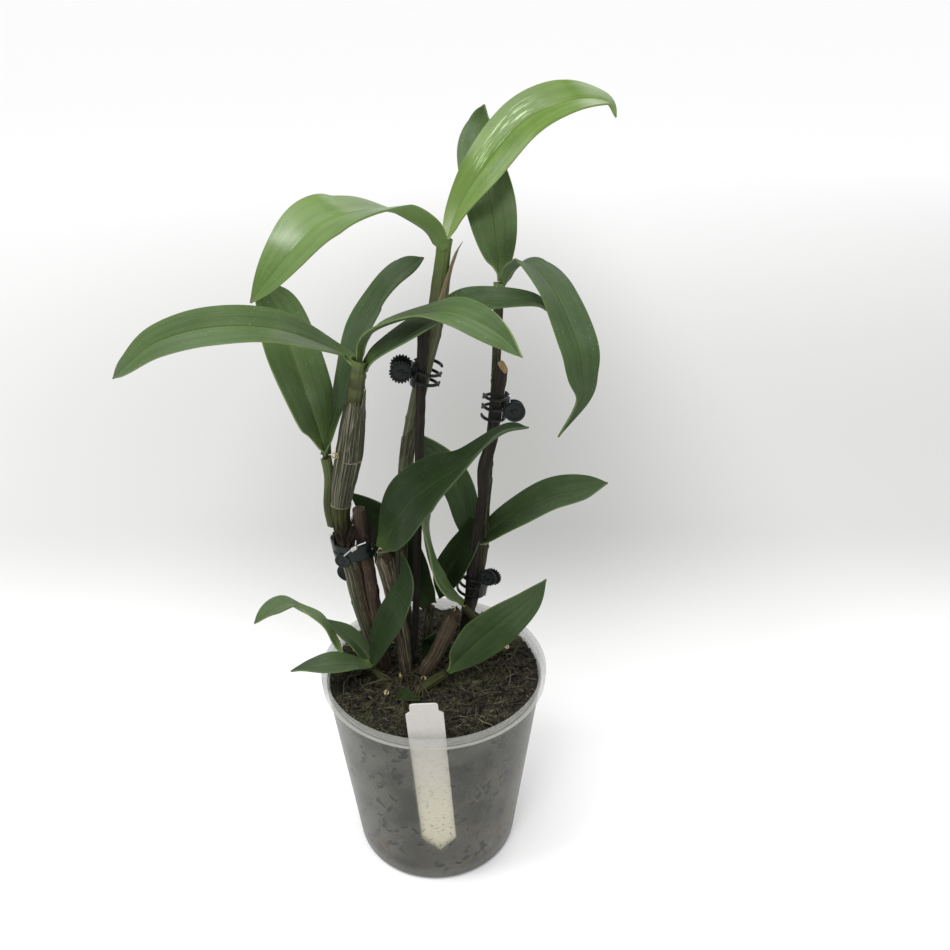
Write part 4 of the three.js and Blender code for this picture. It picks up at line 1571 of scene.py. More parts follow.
RIM_SKINS = {
    Skin.FRESH_SHEATH: Skin.GREEN_RIM,
    Skin.OLIVE_SHEATH: Skin.GREEN_RIM,
    Skin.BROWN_PAPER: Skin.BROWN_PAPER,
    Skin.TAN: Skin.TAN,
    Skin.RUST: Skin.RUST,
}

SHEATHS = (
    Sheath("sheath_left_long", "cane_left", 200.5, 255.5, 0, Skin.PAPER, 345, 0.9, 0.3, 0.055, 0.45, 0.25),
    Sheath("sheath_left_flap", "cane_left", 226, 262, 62, Skin.PAPER, 150, 0.35, 0.9, 0.06, 0.7),
    Sheath(
        "sheath_left_cup", "cane_left", 268, 274.5, -20, Skin.FRESH_SHEATH, 350, 0.85, 1.1, 0.02, 0.5, 0.35
    ),
    Sheath("sheath_left_top", "cane_left", 261, 269, 10, Skin.OLIVE_SHEATH, 350, 0.9, 0.5, 0.02, 0.35, 0.4),
    Sheath(
        "sheath_left_collar", "cane_left", 251, 262.5, -30, Skin.OLIVE_SHEATH, 340, 0.9, 0.2, 0.03, 0.1, 0.1
    ),
    Sheath("sheath_side", "cane_left_side", 189, 226, 70, Skin.OLIVE_SHEATH, 345, 0.96, 0.2, 0.02, 0.85, 0.1),
    Sheath("sheath_left_olive", "cane_left", 183, 201.5, 20, Skin.OLIVE, 345, 0.97, 0.3, 0.02, 0.6, 0.1),
    Sheath("sheath_left_strip", "cane_left", 122, 177, 72, Skin.RUST, 130, 0.75, 0.3, 0.06, 1.3),
    Sheath("sheath_left_low", "cane_left", 112, 175, -25, Skin.PAPER, 330, 0.9, 0.3, 0.05, 1.2, 0.1),
    Sheath("sheath_left_foot", "cane_left", 103, 146, 60, Skin.BROWN_PAPER, 280, 0.7, 0.5, 0.08, 0.5),
    Sheath("sheath_centre_green", "cane_centre", 286, 323, -25, Skin.FRESH_SHEATH, 352, 0.96, 1.0, 0.01, 0.1),
    Sheath("sheath_centre_dry", "cane_centre", 290, 322.5, 66, Skin.TAN, 150, 0.15, 5.6, 0.02, 0.45),
    Sheath("sheath_centre_pale", "cane_centre", 205, 289, -10, Skin.STRAW, 340, 0.9, 0.1, 0.03, 0.15),
    Sheath("sheath_centre_mid", "cane_centre", 198, 240, 45, Skin.PAPER, 250, 0.75, 0.3, 0.06, 0.1),
    Sheath("sheath_centre_low", "cane_centre", 104, 152, 10, Skin.BROWN_PAPER, 320, 0.8, 0.4, 0.08, 0.2, 0.2),
    Sheath(
        "sheath_right_cup", "cane_right", 292, 302.5, -40, Skin.FRESH_SHEATH, 350, 0.8, 0.3, 0.02, 0.3, 0.2
    ),
    Sheath("sheath_right_top", "cane_right", 258, 297, 10, Skin.STRIPED, 345, 0.9, 0.5, 0.02, 0.1, 0.2),
    Sheath("sheath_right_mid", "cane_right", 170, 210, -20, Skin.PAPER, 300, 0.85, 0.3, 0.06, 0.1),
    Sheath("sheath_right_low", "cane_right", 106, 146, -10, Skin.BROWN_PAPER, 320, 0.75, 0.4, 0.08, 0.2),
    Sheath(
        "sheath_stub_top", "cane_old_stub", 150, 181, -10, Skin.BROWN_PAPER, 320, 0.82, 0.9, 0.2, 0.25, 0.2
    ),
    Sheath(
        "sheath_stub_low", "cane_old_stub", 103, 148, 30, Skin.BROWN_PAPER, 330, 0.8, 0.6, 0.10, 0.15, 0.2
    ),
    Sheath("sheath_leaning", "cane_old_leaning", 106, 141, -20, Skin.RUST, 320, 0.8, 0.5, 0.10, 0.2),
    Sheath("sheath_rear", "cane_rear", 104, 128, 0, Skin.PAPER, 320, 0.8, 0.4, 0.08, 0.15),
)


class Bits:
    """The small dry things: roots that fan out over the mix, curled flakes, cut tips and a tuft of hairs."""

    SEED = 23
    SMOOTH = 40
    REACH = 50
    FEET = ((-28, 5), (-20, -12), (-13, -7), (-5, -8), (-10, 8), (13, 12), (-2, 12))
    ROOTS_EACH = 7
    ROOT_RADIUS = 0.5
    ROOT_TAPER = 0.28
    ROOT_DIP = 2.5
    FLAKE_THICK = 0.2
    TIP_RIM = 0.35
    TIP_BEVEL = 0.1
    TIP_DISH = 0.6
    HAIR_RADIUS = 0.46
    HAIR_TAPER = 0.34
    HAIRS = 90
    TUFT_FOOT = (-35.5, -1.5, 181)
    TUFT_RADIUS = 8.2
    TUFT_FLAT = 0.62

    def root(
        self, start: Vector, turn: float, length: float, rise: float, draw: random.Random
    ) -> Object:
        """One root that leaves the foot of a cane in an arc and dips into the mix.

        Args:
            start: Where it leaves the cane.
            turn: Which way it goes, in radians from x.
            length: How far it goes.
            rise: How high its arc stands.
            draw: Where its bend is drawn from.

        Returns:
            The root.
        """
        way = level(turn)
        side = Vector((-way.y, way.x, 0)) * draw.uniform(-0.35, 0.35)
        rows = []
        for s in (0.0, 0.2, 0.4, 0.6, 0.8, 1.0):
            lift = rise * math.sin(math.pi * min(s * 1.15, 1)) - self.ROOT_DIP * smooth(0.8, 1, s)
            spot = start + (way * s + side * s * s) * length + UP * lift
            rows.append((*spot, self.ROOT_RADIUS - self.ROOT_TAPER * s))
        return tube("root", Route(tuple(rows)), around=8, along=34)

    def roots(self, mix: "BarkMix") -> Object:
        """All the roots."""
        draw = random.Random(self.SEED)
        parts = []
        for x, y in self.FEET:
            for _ in range(self.ROOTS_EACH):
                turn = draw.uniform(math.pi * 0.75, math.pi * 2.1)
                length = draw.uniform(9, 24)
                end = Vector((x, y, 0)) + level(turn) * length * 1.2
                if end.length < self.REACH:
                    start = Vector((x, y, mix.height(x, y) + draw.uniform(-0.5, 2.5)))
                    parts.append(self.root(start, turn, length, draw.uniform(0.6, 3.4), draw))
        return joined("dry_roots", parts)

    def flake(self, at: Vector, size: float, turn: float, coils: float) -> Object:
        """A narrow strip that rolls up on itself.

        Args:
            at: The middle of its outer end.
            size: The radius of its outer turn.
            turn: How it is turned about y, in degrees.
            coils: How many times it is rolled.

        Returns:
            The flake.
        """
        strip = blank("flake", across=4, along=40)
        spin = Matrix.Rotation(math.radians(turn), 4, "Y")

        def place(x: float, y: float) -> Vector:
            """The place on the roll of one vertex of the blank."""
            s = (y + 1) / 2
            angle = FULL_TURN * coils * s
            radius = size * (1 - 0.75 * s)
            side = x * size * 0.42 * (1 - 0.5 * s)
            return at + spin @ Vector((radius * math.sin(angle), side, size - radius * math.cos(angle)))

        shape(strip, place)
        thicken(strip, self.FLAKE_THICK)
        return strip

    def tip(self, at: Vector, lean: Vector, radius: float, length: float) -> Object:
        """A short cut stub with a dished end.

        Args:
            at: The middle of its end.
            lean: The way that it points.
            radius: Its radius.
            length: How far it reaches down.

        Returns:
            The stub.
        """
        foot = at - lean.normalized() * length
        rows = ((*foot, radius * 0.9), (*at.lerp(foot, 0.5), radius), (*at, radius * 1.05))
        stub = tube("tip", Route(rows), around=18, along=10)
        with edit_mode(stub):
            bpy.ops.mesh.select_all(action="DESELECT")
        for face in stub.data.polygons:
            face.select = len(face.vertices) > 4 and (face.center / MM - at).length < 0.2
        alone(stub)
        bpy.ops.object.mode_set(mode="EDIT")
        bpy.ops.mesh.select_mode(type="FACE")
        bpy.ops.mesh.inset(thickness=radius * self.TIP_RIM * MM, depth=0)
        bpy.ops.mesh.inset(thickness=radius * self.TIP_BEVEL * MM, depth=-self.TIP_DISH * MM)
        bpy.ops.object.mode_set(mode="OBJECT")
        return stub

    def tuft(self) -> Object:
        """Dark hairs that stand up round a stake's top."""
        draw = random.Random(self.SEED)
        foot = Vector(self.TUFT_FOOT)
        parts = []
        for _ in range(self.HAIRS):
            turn = draw.uniform(0, FULL_TURN)
            way = Vector((math.cos(turn), math.sin(turn) * self.TUFT_FLAT, 0))
            start = foot + way * self.TUFT_RADIUS * draw.uniform(0.75, 1.05)
            lean = Vector((draw.uniform(-0.35, 0.35), draw.uniform(-0.3, 0.3), 1)) * draw.uniform(6, 17)
            bow = (foot - start) * draw.uniform(0, 0.35)
            rows = []
            for s in (0.0, 0.35, 0.7, 1.0):
                rows.append((*(start + lean * s + bow * s * s), self.HAIR_RADIUS - self.HAIR_TAPER * s))
            parts.append(tube("hair", Route(tuple(rows)), around=5, along=12))
        return joined("dark_hairs", parts)

    def build(self, mix: "BarkMix", skins: dict[Skin, Material]) -> None:
        """Makes, dresses and seats the roots, the flakes, the tips and the hairs."""
        flakes = [self.flake(Vector(at), size, turn, coils) for at, size, turn, coils in FLAKES]
        tips = []
        for x, y, height, radius in TIPS:
            at = Vector((x, y, mix.height(x, y) + height))
            tips.append(self.tip(at, Vector((0.15 * math.sin(x), -0.45, 1)), radius, height + 3))
        pieces = (
            (self.roots(mix), Skin.ROOT, "bark"),
            (joined("curled_flakes", flakes), Skin.CREAM, "old_cane"),
            (joined("cut_tips", tips), Skin.CREAM, "old_cane"),
            (self.tuft(), Skin.HAIR, "stake"),
        )
        for piece, skin, slot in pieces:
            finish(piece, [skins[skin]], slot, "bark", self.SMOOTH, replaces=False)


# Each flake has its place, its size, its turn in degrees and how many times it is rolled.
FLAKES = (
    ((-39.9, -5.5, 229), 1.7, -70, 1.4),
    ((-24.6, -10.4, 182.6), 1.7, 60, 1.2),
    ((10.6, -2.6, 143.6), 1.5, -30, 0.8),
    ((12.4, 3.2, 138.6), 1.1, 40, 0.7),
    ((-33.5, -3.5, 251), 0.9, 20, 1.0),
    ((35.2, -17.6, 133), 1.1, 80, 1.1),
)

# Each tip has its x and y, how far it stands out of the mix and its radius.
TIPS = (
    (-4.8, -12, 2.2, 1.3),
    (-22.6, -21, 2.0, 1.2),
    (-16.2, -9.5, 3.0, 1.0),
    (-41.9, 13, 2.4, 0.9),
    (-50, 11, 2.0, 0.9),
)


# ---------- the pot, the bark mix and the label ----------


@dataclass(frozen=True)
class Pot:
    """A tapered nursery pot with a rolled rim, a ring and a flat middle to stand on."""

    foot: float = 42
    flare: float = 0.12
    height: float = 109
    wall: float = 1.2
    rim_radius: float = 57
    rim_band: float = 5
    rim_width: float = 2.7
    foot_ring: float = 4.5
    foot_pad: float = 16
    floor_under: float = 2
    floor: float = 1.6
    corner: float = 2.4
    holes: int = 6
    hole_radius: float = 3
    hole_circle: float = 27
    notches: int = 3
    notch_width: float = 10.5
    notch_height: float = 1.6
    notch_turn: float = -112

    AROUND = 144
    HOLE_SIDES = 28
    NOTCH_SIDES = 160
    SOFT_EDGE = 0.55
    DRAFT = 0.5
    RIM_DRAFT = 0.3
    SMOOTH = 35

    def wall_radius(self, z: float) -> float:
        """The wall's outer radius at this height."""
        return self.foot + self.flare * z

    def profile(self) -> Outline:
        """The closed outline of radius and height, from the axis underneath to the axis inside."""
        top = self.floor_under + self.floor
        under = self.height - self.rim_band
        ring = self.foot - self.corner / 2

        def inner(z: float) -> float:
            """The wall's inner radius at this height."""
            return self.wall_radius(z) - self.wall

        standing = [
            (0, 0),
            (self.foot_pad, 0),
            (self.foot_pad + self.DRAFT, self.floor_under),
            (ring - self.foot_ring, self.floor_under),
            (ring - self.foot_ring + self.DRAFT, 0),
            (ring, 0),
            (self.wall_radius(self.corner), self.corner),
        ]
        wall = [(self.wall_radius(z), z) for z in (under / 3, under * 2 / 3, under)]
        rim = [
            (self.rim_radius - self.RIM_DRAFT, under),
            (self.rim_radius, self.height),
            (self.rim_radius - self.rim_width, self.height),
        ]
        inside = [(inner(z), z) for z in (under, under / 2, top + self.corner)]
        floor = [(inner(top) - self.corner / 2, top), (0, top)]
        return rounded([*standing, *wall, *rim, *inside, *floor], self.SOFT_EDGE)

    def drill(
        self,
        pot: Object,
        spot: Vector,
        sides: int,
        radius: float,
        depth: float,
        turn: Point = (0, 0, 0),
    ) -> None:
        """Cuts a round hole into the pot.

        Args:
            pot: The pot.
            spot: The middle of the hole, in millimetres as its radius and its depth.
            sides: How many flats the hole has.
            radius: Its radius.
            depth: Its length.
            turn: How it is turned from upright, in radians.
        """
        sizes = {"vertices": sides, "radius": radius * MM, "depth": depth * MM}
        cut_out(pot, added(bpy.ops.mesh.primitive_cylinder_add, location=spot * MM, rotation=turn, **sizes))

    def build(self) -> Object:
        """Makes the pot with its drainage holes and the arches in its foot."""
        pot = lathe("pot_shell", self.profile(), self.AROUND)
        for k in range(self.holes):
            spot = level(FULL_TURN * k / self.holes) * self.hole_circle
            spot.z = self.floor_under + self.floor / 2
            self.drill(pot, spot, self.HOLE_SIDES, self.hole_radius, 4 * self.floor)
        arch = (self.notch_width**2 / 4 + self.notch_height**2) / (2 * self.notch_height)
        for k in range(self.notches):
            turn = math.radians(self.notch_turn + 360 * k / self.notches)
            spot = Vector((math.cos(turn) * self.foot, math.sin(turn) * self.foot, self.notch_height - arch))
            self.drill(pot, spot, self.NOTCH_SIDES, arch, 3 * self.foot_ring, (0, math.pi / 2, turn))
        return pot

    def dress(self, pot: Object, fill: float, label: "Label") -> None:
        """Gives the pot its plastic, which is clear over the label, and its seat."""
        plastic = PotFinish(fill, self.height - self.rim_band, label.tip, label.top).material()
        finish(pot, [plastic], "pot", "pot", self.SMOOTH)


@dataclass(frozen=True)
class BarkMix:
    """The damp mix that fills the pot, with loose chips and mossy fibres on top."""

    pot: Pot
    edge: float = 104.2
    mound: float = 2.6
    lump: float = 0.5
    gap: float = 0.3
    chips: int = 620
    fibres: int = 1500
    straws: int = 90
    straw_thick: float = 1.7
    seed: int = 7

    AROUND = 150
    RINGS = 46
    SIDE_HEIGHTS = (30, 60, 85)
    SETTLED = 0.4
    CRUMB_DEPTH = 2.0
    CRUMB_SIZE = 5.5
    PIT_DEPTH = 0.9
    PIT_SIZE = 1.9
    DIP = 2.2
    RAGGED = 4.5
    SHORE = 3
    CLEAR = 3.5
    KINDS = 9
    SMOOTH = 60

    def inner(self, z: float) -> float:
        """The mix's radius at this height."""
        return self.pot.wall_radius(z) - self.pot.wall - self.gap

    def height(self, x: float, y: float) -> float:
        """The height of the surface, a low mound with lumps."""
        out = math.hypot(x, y) / self.pot.wall_radius(self.edge)
        lumps = math.sin(0.33 * x + 1.2) * math.cos(0.29 * y) + 0.7 * math.sin(0.61 * x - 0.47 * y + 0.6)
        return self.edge + self.mound * (1 - out * out) + self.lump * lumps

    def crumbs(self, x: float, y: float) -> float:
        """Roughness of the surface, in millimetres."""
        spot = Vector((x, y, 0))
        pits = abs(noise.noise(spot / self.PIT_SIZE))
        return self.CRUMB_DEPTH * noise.fractal(spot / self.CRUMB_SIZE, 0.8, 2.1, 4) - self.PIT_DEPTH * pits

    def roughen(self, filling: Object, rest: float) -> None:
        """Lays the top of the filling on the surface, crumbly and ragged against the wall.

        Args:
            filling: The smooth filling.
            rest: The radius of its top.
        """
        for vertex in filling.data.vertices:
            x, y, z = vertex.co / MM
            if z > self.edge - 0.5:
                out = math.hypot(x, y)
                fade = 0.5 + 0.5 * smooth(rest, rest - self.SHORE, out)
                ragged = smooth(rest - self.SHORE, rest, out) * smooth(-20, 5, y)
                ragged *= max(0.0, noise.noise(Vector((x, y, 9)) / 2.4) + 0.15)
                lift = max(self.crumbs(x, y) * fade, -self.DIP) + self.RAGGED * ragged
                vertex.co.z = (self.height(x, y) + lift) * MM

    def build(self, label: "Label") -> list[Object]:
        """Makes the filling with the label's slot in it, its chips and its fibres."""
        bottom = self.pot.floor_under + self.pot.floor + self.gap
        corner = self.pot.corner + self.gap
        side = [(0, bottom), (self.inner(bottom) - corner / 2 - self.gap, bottom)]
        side += [(self.inner(z), z) for z in (bottom + corner, *self.SIDE_HEIGHTS, self.edge - 1)]
        rest = self.inner(self.edge) - self.SETTLED
        top = [(rest * (1 - k / self.RINGS), self.edge) for k in range(self.RINGS + 1)]
        filling = lathe("bark_mix", side + top, self.AROUND)
        self.roughen(filling, rest)
        cut_out(filling, label.cutter())
        chips = self.scatter("bark_chips", self.chip, self.chips)
        fibres = self.scatter("moss_fibres", self.fibre, self.fibres)
        straws = self.scatter("pale_straws", self.fibre, self.straws, self.straw_thick)
        return [filling, chips, fibres, straws]

    def chip(self, draw: random.Random) -> Object:
        """One split chip of bark."""
        chip = added(bpy.ops.mesh.primitive_cube_add, size=1)
        with edit_mode(chip):
            bpy.ops.mesh.subdivide(number_cuts=1)
            size = (draw.uniform(2, 5), draw.uniform(1.2, 2.6), draw.uniform(0.7, 1.6))
            bpy.ops.transform.resize(value=size)
        for vertex in chip.data.vertices:
            vertex.co += Vector([draw.uniform(-0.35, 0.35) for _ in range(3)])
        chip.data.transform(Matrix.Scale(MM, 4))
        return chip

    @staticmethod
    def tapered(turn: float, t: float, spot: Spot) -> float:
        """A strand's radius, which gets thinner along it."""
        return spot.value * (1.1 - 0.6 * t)

    def fibre(self, draw: random.Random) -> Object:
        """One curled strand."""
        steps = 4
        step = draw.uniform(4, 13) / steps
        rows = [(0.0, 0.0, 0.0, 0.08)]
        heading = draw.uniform(-0.3, 0.3)
        for _ in range(steps):
            heading += draw.uniform(-0.5, 0.5)
            x, y, z, _ = rows[-1]
            rise = draw.uniform(-0.5, 0.6)
            rows.append((x + step * math.cos(heading), y + step * math.sin(heading), z + rise, 0.12))
        return tube("fibre", Route(tuple(rows)), around=4, along=7, radius=self.tapered)

    def lay(self, x: float, y: float, thick: float, draw: random.Random) -> Matrix:
        """Lays one bit on the surface.

        Args:
            x: Its place to the right.
            y: Its place away from the front.
            thick: How much thicker it is than it was modelled.
            draw: Where its lean, size, lift and turn are drawn from.

        Returns:
            Its matrix in millimetres.
        """
        lean = Matrix.Rotation(draw.uniform(-0.5, 0.5), 4, "X")
        lean @= Matrix.Rotation(draw.uniform(-0.5, 0.5), 4, "Y")
        size = draw.uniform(0.6, 1.2)
        lift = draw.uniform(0.3, 0.7) * thick
        spin = Matrix.Rotation(draw.uniform(0, FULL_TURN), 4, "Z")
        matrix = Matrix.Translation((x, y, self.height(x, y) + lift)) @ spin @ lean @ Matrix.Scale(size, 4)
        return matrix @ Matrix.Diagonal((1, thick, thick, 1))

    def scatter(
        self, name: str, make: Callable[[random.Random], Object], count: int, thick: float = 1.0
    ) -> Object:
        """Models a few kinds of a bit and lays copies of them on the surface.

        Args:
            name: The name of the object that all the copies become.
            make: What models one kind.
            count: How many copies there are.
            thick: How much thicker they are than they were modelled.

        Returns:
            The object.
        """
        draw = random.Random(self.seed + count)
        kinds = [make(draw) for _ in range(self.KINDS)]
        wall = self.inner(self.edge)
        copies = []
        for k in range(count):
            copy = bpy.data.objects.new(name, kinds[k % self.KINDS].data.copy())
            bpy.context.collection.objects.link(copy)
            out, turn = (wall - self.CLEAR) * math.sqrt(draw.random()), draw.uniform(0, FULL_TURN)
            matrix = self.lay(out * math.cos(turn), out * math.sin(turn), thick, draw)
            copy.data.transform(Matrix.Scale(MM, 4) @ matrix @ Matrix.Scale(1 / MM, 4))
            for vertex in copy.data.vertices:
                far = math.hypot(vertex.co.x, vertex.co.y) / MM
                if far > wall:
                    vertex.co *= wall / far
            copies.append(copy)
        for kind in kinds:
            bpy.data.objects.remove(kind)
        return joined(name, copies)

    def dress(self, pieces: Sequence[Object], skins: dict[Skin, Material]) -> None:
        """Gives the mix its finishes and its seat."""
        filling, *loose = pieces
        finish(filling, [MixFinish("bark mix").material()], "bark", "bark", self.SMOOTH)
        chip_skin = MixFinish("bark chips", (0.008, 0.006, 0.0045), (0.052, 0.042, 0.027)).material()
        for bits, skin in zip(loose, (chip_skin, skins[Skin.FIBRE], skins[Skin.PALE_RIM])):
            finish(bits, [skin], "bark", "bark", replaces=False)


@dataclass(frozen=True)
class Label:
    """A white pointed plant label with milled edges."""

    top: Point = (-2.6, -54, 130)
    tip: Point = (3, -40.6, 21.6)
    width: float = 17.5
    head_width: float = 13
    head: float = 7
    point: float = 10
    thick: float = 0.8
    tooth: float = 0.35
    pitch: float = 1.5
    neck: float = 2.5
    corner: float = 1.6

    ACROSS = 10
    ALONG = 292
    CUTTER_ALONG = 24
    CUTTER_DEPTH = 14
    CUTTER_BEHIND = 0.2
    CUTTER_SPARE = 0.5
    SMOOTH = 30

    def half_width(self, s: float, length: float) -> float:
        """Half the label's width.

        Args:
            s: How far above the tip, in millimetres.
            length: The label's length.

        Returns:
            Half the width there.
        """
        half = self.width / 2
        if s < self.point:
            return half * s / self.point
        if s < length - self.head:
            return half - self.tooth * abs(2 * ((s / self.pitch) % 1) - 1)
        shoulder = length - self.head
        narrow = half + (self.head_width / 2 - half) * smooth(shoulder, shoulder + self.neck, s)
        into = max(0.0, s - length + self.corner)
        return narrow - self.corner + math.sqrt(max(0.0, self.corner**2 - into**2))

    def sheet(self, name: str, along: int, spare: float, off: float) -> Object:
        """A flat sheet of the label's outline.

        Args:
            name: The object's name.
            along: Faces along it.
            spare: How far it reaches past the outline, in millimetres.
            off: How far it lies in front of the label's back.

        Returns:
            The sheet.
        """
        tip = Vector(self.tip)
        up = (Vector(self.top) - tip).normalized()
        out = (FRONT - up * FRONT.dot(up)).normalized()
        side = up.cross(out)
        length = (Vector(self.top) - tip).length
        sheet = blank(name, self.ACROSS, along)

        def place(x: float, y: float) -> Vector:
            """The place on the sheet of one vertex of the blank."""
            s = length * (y + 1) / 2
            half = self.half_width(s, length) + spare
            return tip + up * (s + y * spare) + side * (x * half) + out * off

        shape(sheet, place)
        with edit_mode(sheet):
            bpy.ops.mesh.remove_doubles(threshold=WELD)
        return sheet

    def build(self) -> Object:
        """Makes the label."""
        return self.sheet("label_strip", self.ALONG, 0, self.thick / 2)

    def cutter(self) -> Object:
        """The block that clears the mix between the label and the wall."""
        off = self.CUTTER_DEPTH / 2 - self.CUTTER_BEHIND
        block = self.sheet("label_cutter", self.CUTTER_ALONG, self.CUTTER_SPARE, off)
        thicken(block, self.CUTTER_DEPTH)
        return block

    def dress(self, label: Object, fill: float) -> None:
        """Gives the label its plastic, its thickness and its seat."""
        finish(label, [LabelFinish(fill).material()], "label", "label", self.SMOOTH, thick=self.thick)


# ---------- the clips ----------


@dataclass(frozen=True)
class Half:
    """One half of a clip: the heights of its claws, and its thumb pad's place and radius."""

    claws: tuple[float, ...]
    pad: Point
    radius: float


@dataclass(frozen=True)
class Clip:
    """A spring clip of two clawed halves on a pin. Its angles are in degrees."""

    name: str
    at: Point
    heading: float
    line: Point
    grip: tuple[float, float]
    front: Half
    rear: Half
    claw_high: float = 1.4
    lobes: int = 0
    wing: bool = False
    spring: tuple[Point, ...] = ()

    CLAW = 1.1
    CLAW_ARC = (30, 176)
    PLATE_END = 48
    ARM_ROOT = 28
    ARM_THICK = 2.0
    PAD_THICK = 1.3
    PAD_SIDES = 64
    LOBE = 0.9
    LOBE_SIDES = 6
    PIN_RADIUS = 0.8
    PIN_END = 0.04
    HIGH = 11.0
    WING_END = 140
    WING_HIGH = 5.6
    GAP = 0.3
    WIRE = 0.4
    COIL = 1.0
    COILS = 4
    COIL_SIDES = 12
    BAR_AROUND = 16
    BAR_END = 0.1
    SMOOTH = 40
    SPRING_SMOOTH = 60

    def frame(self) -> Matrix:
        """From the clip's own millimetres, with x along the pads and z along the pin, to the plant's."""
        line = Vector(self.line).normalized()
        way = level(math.radians(self.heading))
        way = (way - line * way.dot(line)).normalized()
        turn = Matrix((way, line.cross(way), line)).transposed()
        return Matrix.Translation(self.at) @ turn.to_4x4()

    def bar(self, name: str, path: Path, wide: float, high: float, along: int) -> Object:
        """A bar with a soft rectangular section and blunt round ends.

        Args:
            name: The object's name.
            path: The middle and the sideways unit vector at s from 0 to 1.
            wide: Its size sideways.
            high: Its size along the pin.
            along: Faces along it.

        Returns:
            The closed bar.
        """
        obj = blank(name, self.BAR_AROUND, along)
        matrix = self.frame()

        def soft(share: float) -> float:
            """A sine or cosine drawn out, so that the section is nearly a rectangle."""
            return math.copysign(math.sqrt(abs(share)), share)

        def place(x: float, y: float) -> Vector:
            """The place on the bar of one vertex of the blank."""
            middle, sideways = path((y + 1) / 2)
            size = blunt((abs(y) - 1 + self.BAR_END) / self.BAR_END) / 2
            turn = math.pi * x
            lift = UP if abs(sideways.dot(UP)) < 0.5 else Vector((1, 0, 0))
            east, north = soft(math.cos(turn)) * wide, soft(math.sin(turn)) * high
            return matrix @ (middle + sideways * (east * size) + lift * (north * size))

        shape(obj, place)
        close_seam(obj)
        return obj

    def on_grip(self, degrees: float, z: float = 0) -> Vector:
        """The middle of a claw's arc at an angle and a height."""
        a, b = (axis + self.CLAW / 2 for axis in self.grip)
        turn = math.radians(degrees)
        return Vector((a * math.cos(turn), b * math.sin(turn), z))

    def arc(self, name: str, start: float, end: float, high: float, z: float, along: int) -> Object:
        """A bar bent round the grip.

        Args:
            name: The object's name.
            start: The angle where it starts.
            end: The angle where it ends.
            high: Its size along the pin.
            z: The height of its middle.
            along: Faces along it.

        Returns:
            The bar.
        """
        a, b = (axis + self.CLAW / 2 for axis in self.grip)

        def path(s: float) -> tuple[Vector, Vector]:
            """The middle of the arc and its way out at s."""
            degrees = start + (end - start) * s
            turn = math.radians(degrees)
            out = Vector((b * math.cos(turn), a * math.sin(turn), 0)).normalized()
            return self.on_grip(degrees, z), out

        return self.bar(name, path, self.CLAW, high, along)

    def pad(self, half: Half) -> Object:
        """The thumb pad: a dished disc with a raised rim, scalloped where it has lobes."""
        thick = self.PAD_THICK / 2
        rim = half.radius
        dish = [(0, thick), (rim * 0.22, thick), (rim * 0.3, thick * 0.45), (rim * 0.66, thick * 0.45)]
        edge = [(rim * 0.76, thick), (rim, thick * 0.7), (rim, -thick * 0.7), (rim * 0.9, -thick)]
        outline = rounded([*dish, *edge, (0, -thick)], radius=0.35, steps=3)
        obj = blank("pad", self.LOBE_SIDES * self.lobes or self.PAD_SIDES, len(outline) - 1)
        matrix = self.frame() @ Matrix.Translation(half.pad)
        outward = math.copysign(1, half.pad[1])

        def place(x: float, y: float) -> Vector:
            """The place on the pad of one vertex of the blank."""
            radius, height = turned_point(outline, y)
            turn = math.pi * x
            if self.lobes:
                dent = 1 - abs(math.cos(self.lobes * turn / 2))
                radius -= self.LOBE * dent * smooth(0.6, 0.95, radius / rim)
            return matrix @ Vector((radius * math.cos(turn), height * outward, radius * math.sin(turn)))

        shape(obj, place)
        close_seam(obj)
        return obj

    def build_half(self, which: str, half: Half) -> Object:
        """Makes one half: its plate, claws, arm and thumb pad."""
        side = math.copysign(1, half.pad[1])
        start = math.degrees(math.asin((self.PIN_RADIUS + self.GAP) / self.grip[1]))
        parts = [self.arc("plate", start * side, self.PLATE_END * side, self.HIGH, 0, 10)]
        first, last = (angle * side for angle in self.CLAW_ARC)
        parts += [self.arc("claw", first, last, self.claw_high, z, 40) for z in half.claws]
        if self.wing:
            middle = sum(half.claws) / len(half.claws)
            wing = self.arc("wing", self.PLATE_END * side, self.WING_END * side, self.WING_HIGH, middle, 24)
            parts.append(wing)
        root = self.on_grip(self.ARM_ROOT * side, half.pad[2] / 4)
        thumb = Vector(half.pad)
        sideways = (thumb - root).cross(UP).normalized()

        def path(s: float) -> tuple[Vector, Vector]:
            """The middle of the arm and its way sideways at s."""
            return root.lerp(thumb, s), sideways

        parts.append(self.bar("arm", path, self.ARM_THICK, self.ARM_THICK, 8))
        parts.append(self.pad(half))
        return joined(f"{self.name}_{which}_half", parts)

    def build_pin(self) -> Object:
        """Makes the pin."""
        middle = self.grip[0] + self.PIN_RADIUS
        matrix = self.frame()
        ends = [matrix @ Vector((middle, 0, z)) for z in (-self.HIGH / 2, self.HIGH / 2)]
        rows = tuple((*end, self.PIN_RADIUS) for end in ends)

        def radius(turn: float, t: float, spot: Spot) -> float:
            """The pin's radius, rounded off at both ends."""
            return spot.value * blunt(1 - min(t, 1 - t) / self.PIN_END, 0.05)

        return tube(f"{self.name}_axle", Route(rows), around=24, along=40, radius=radius)

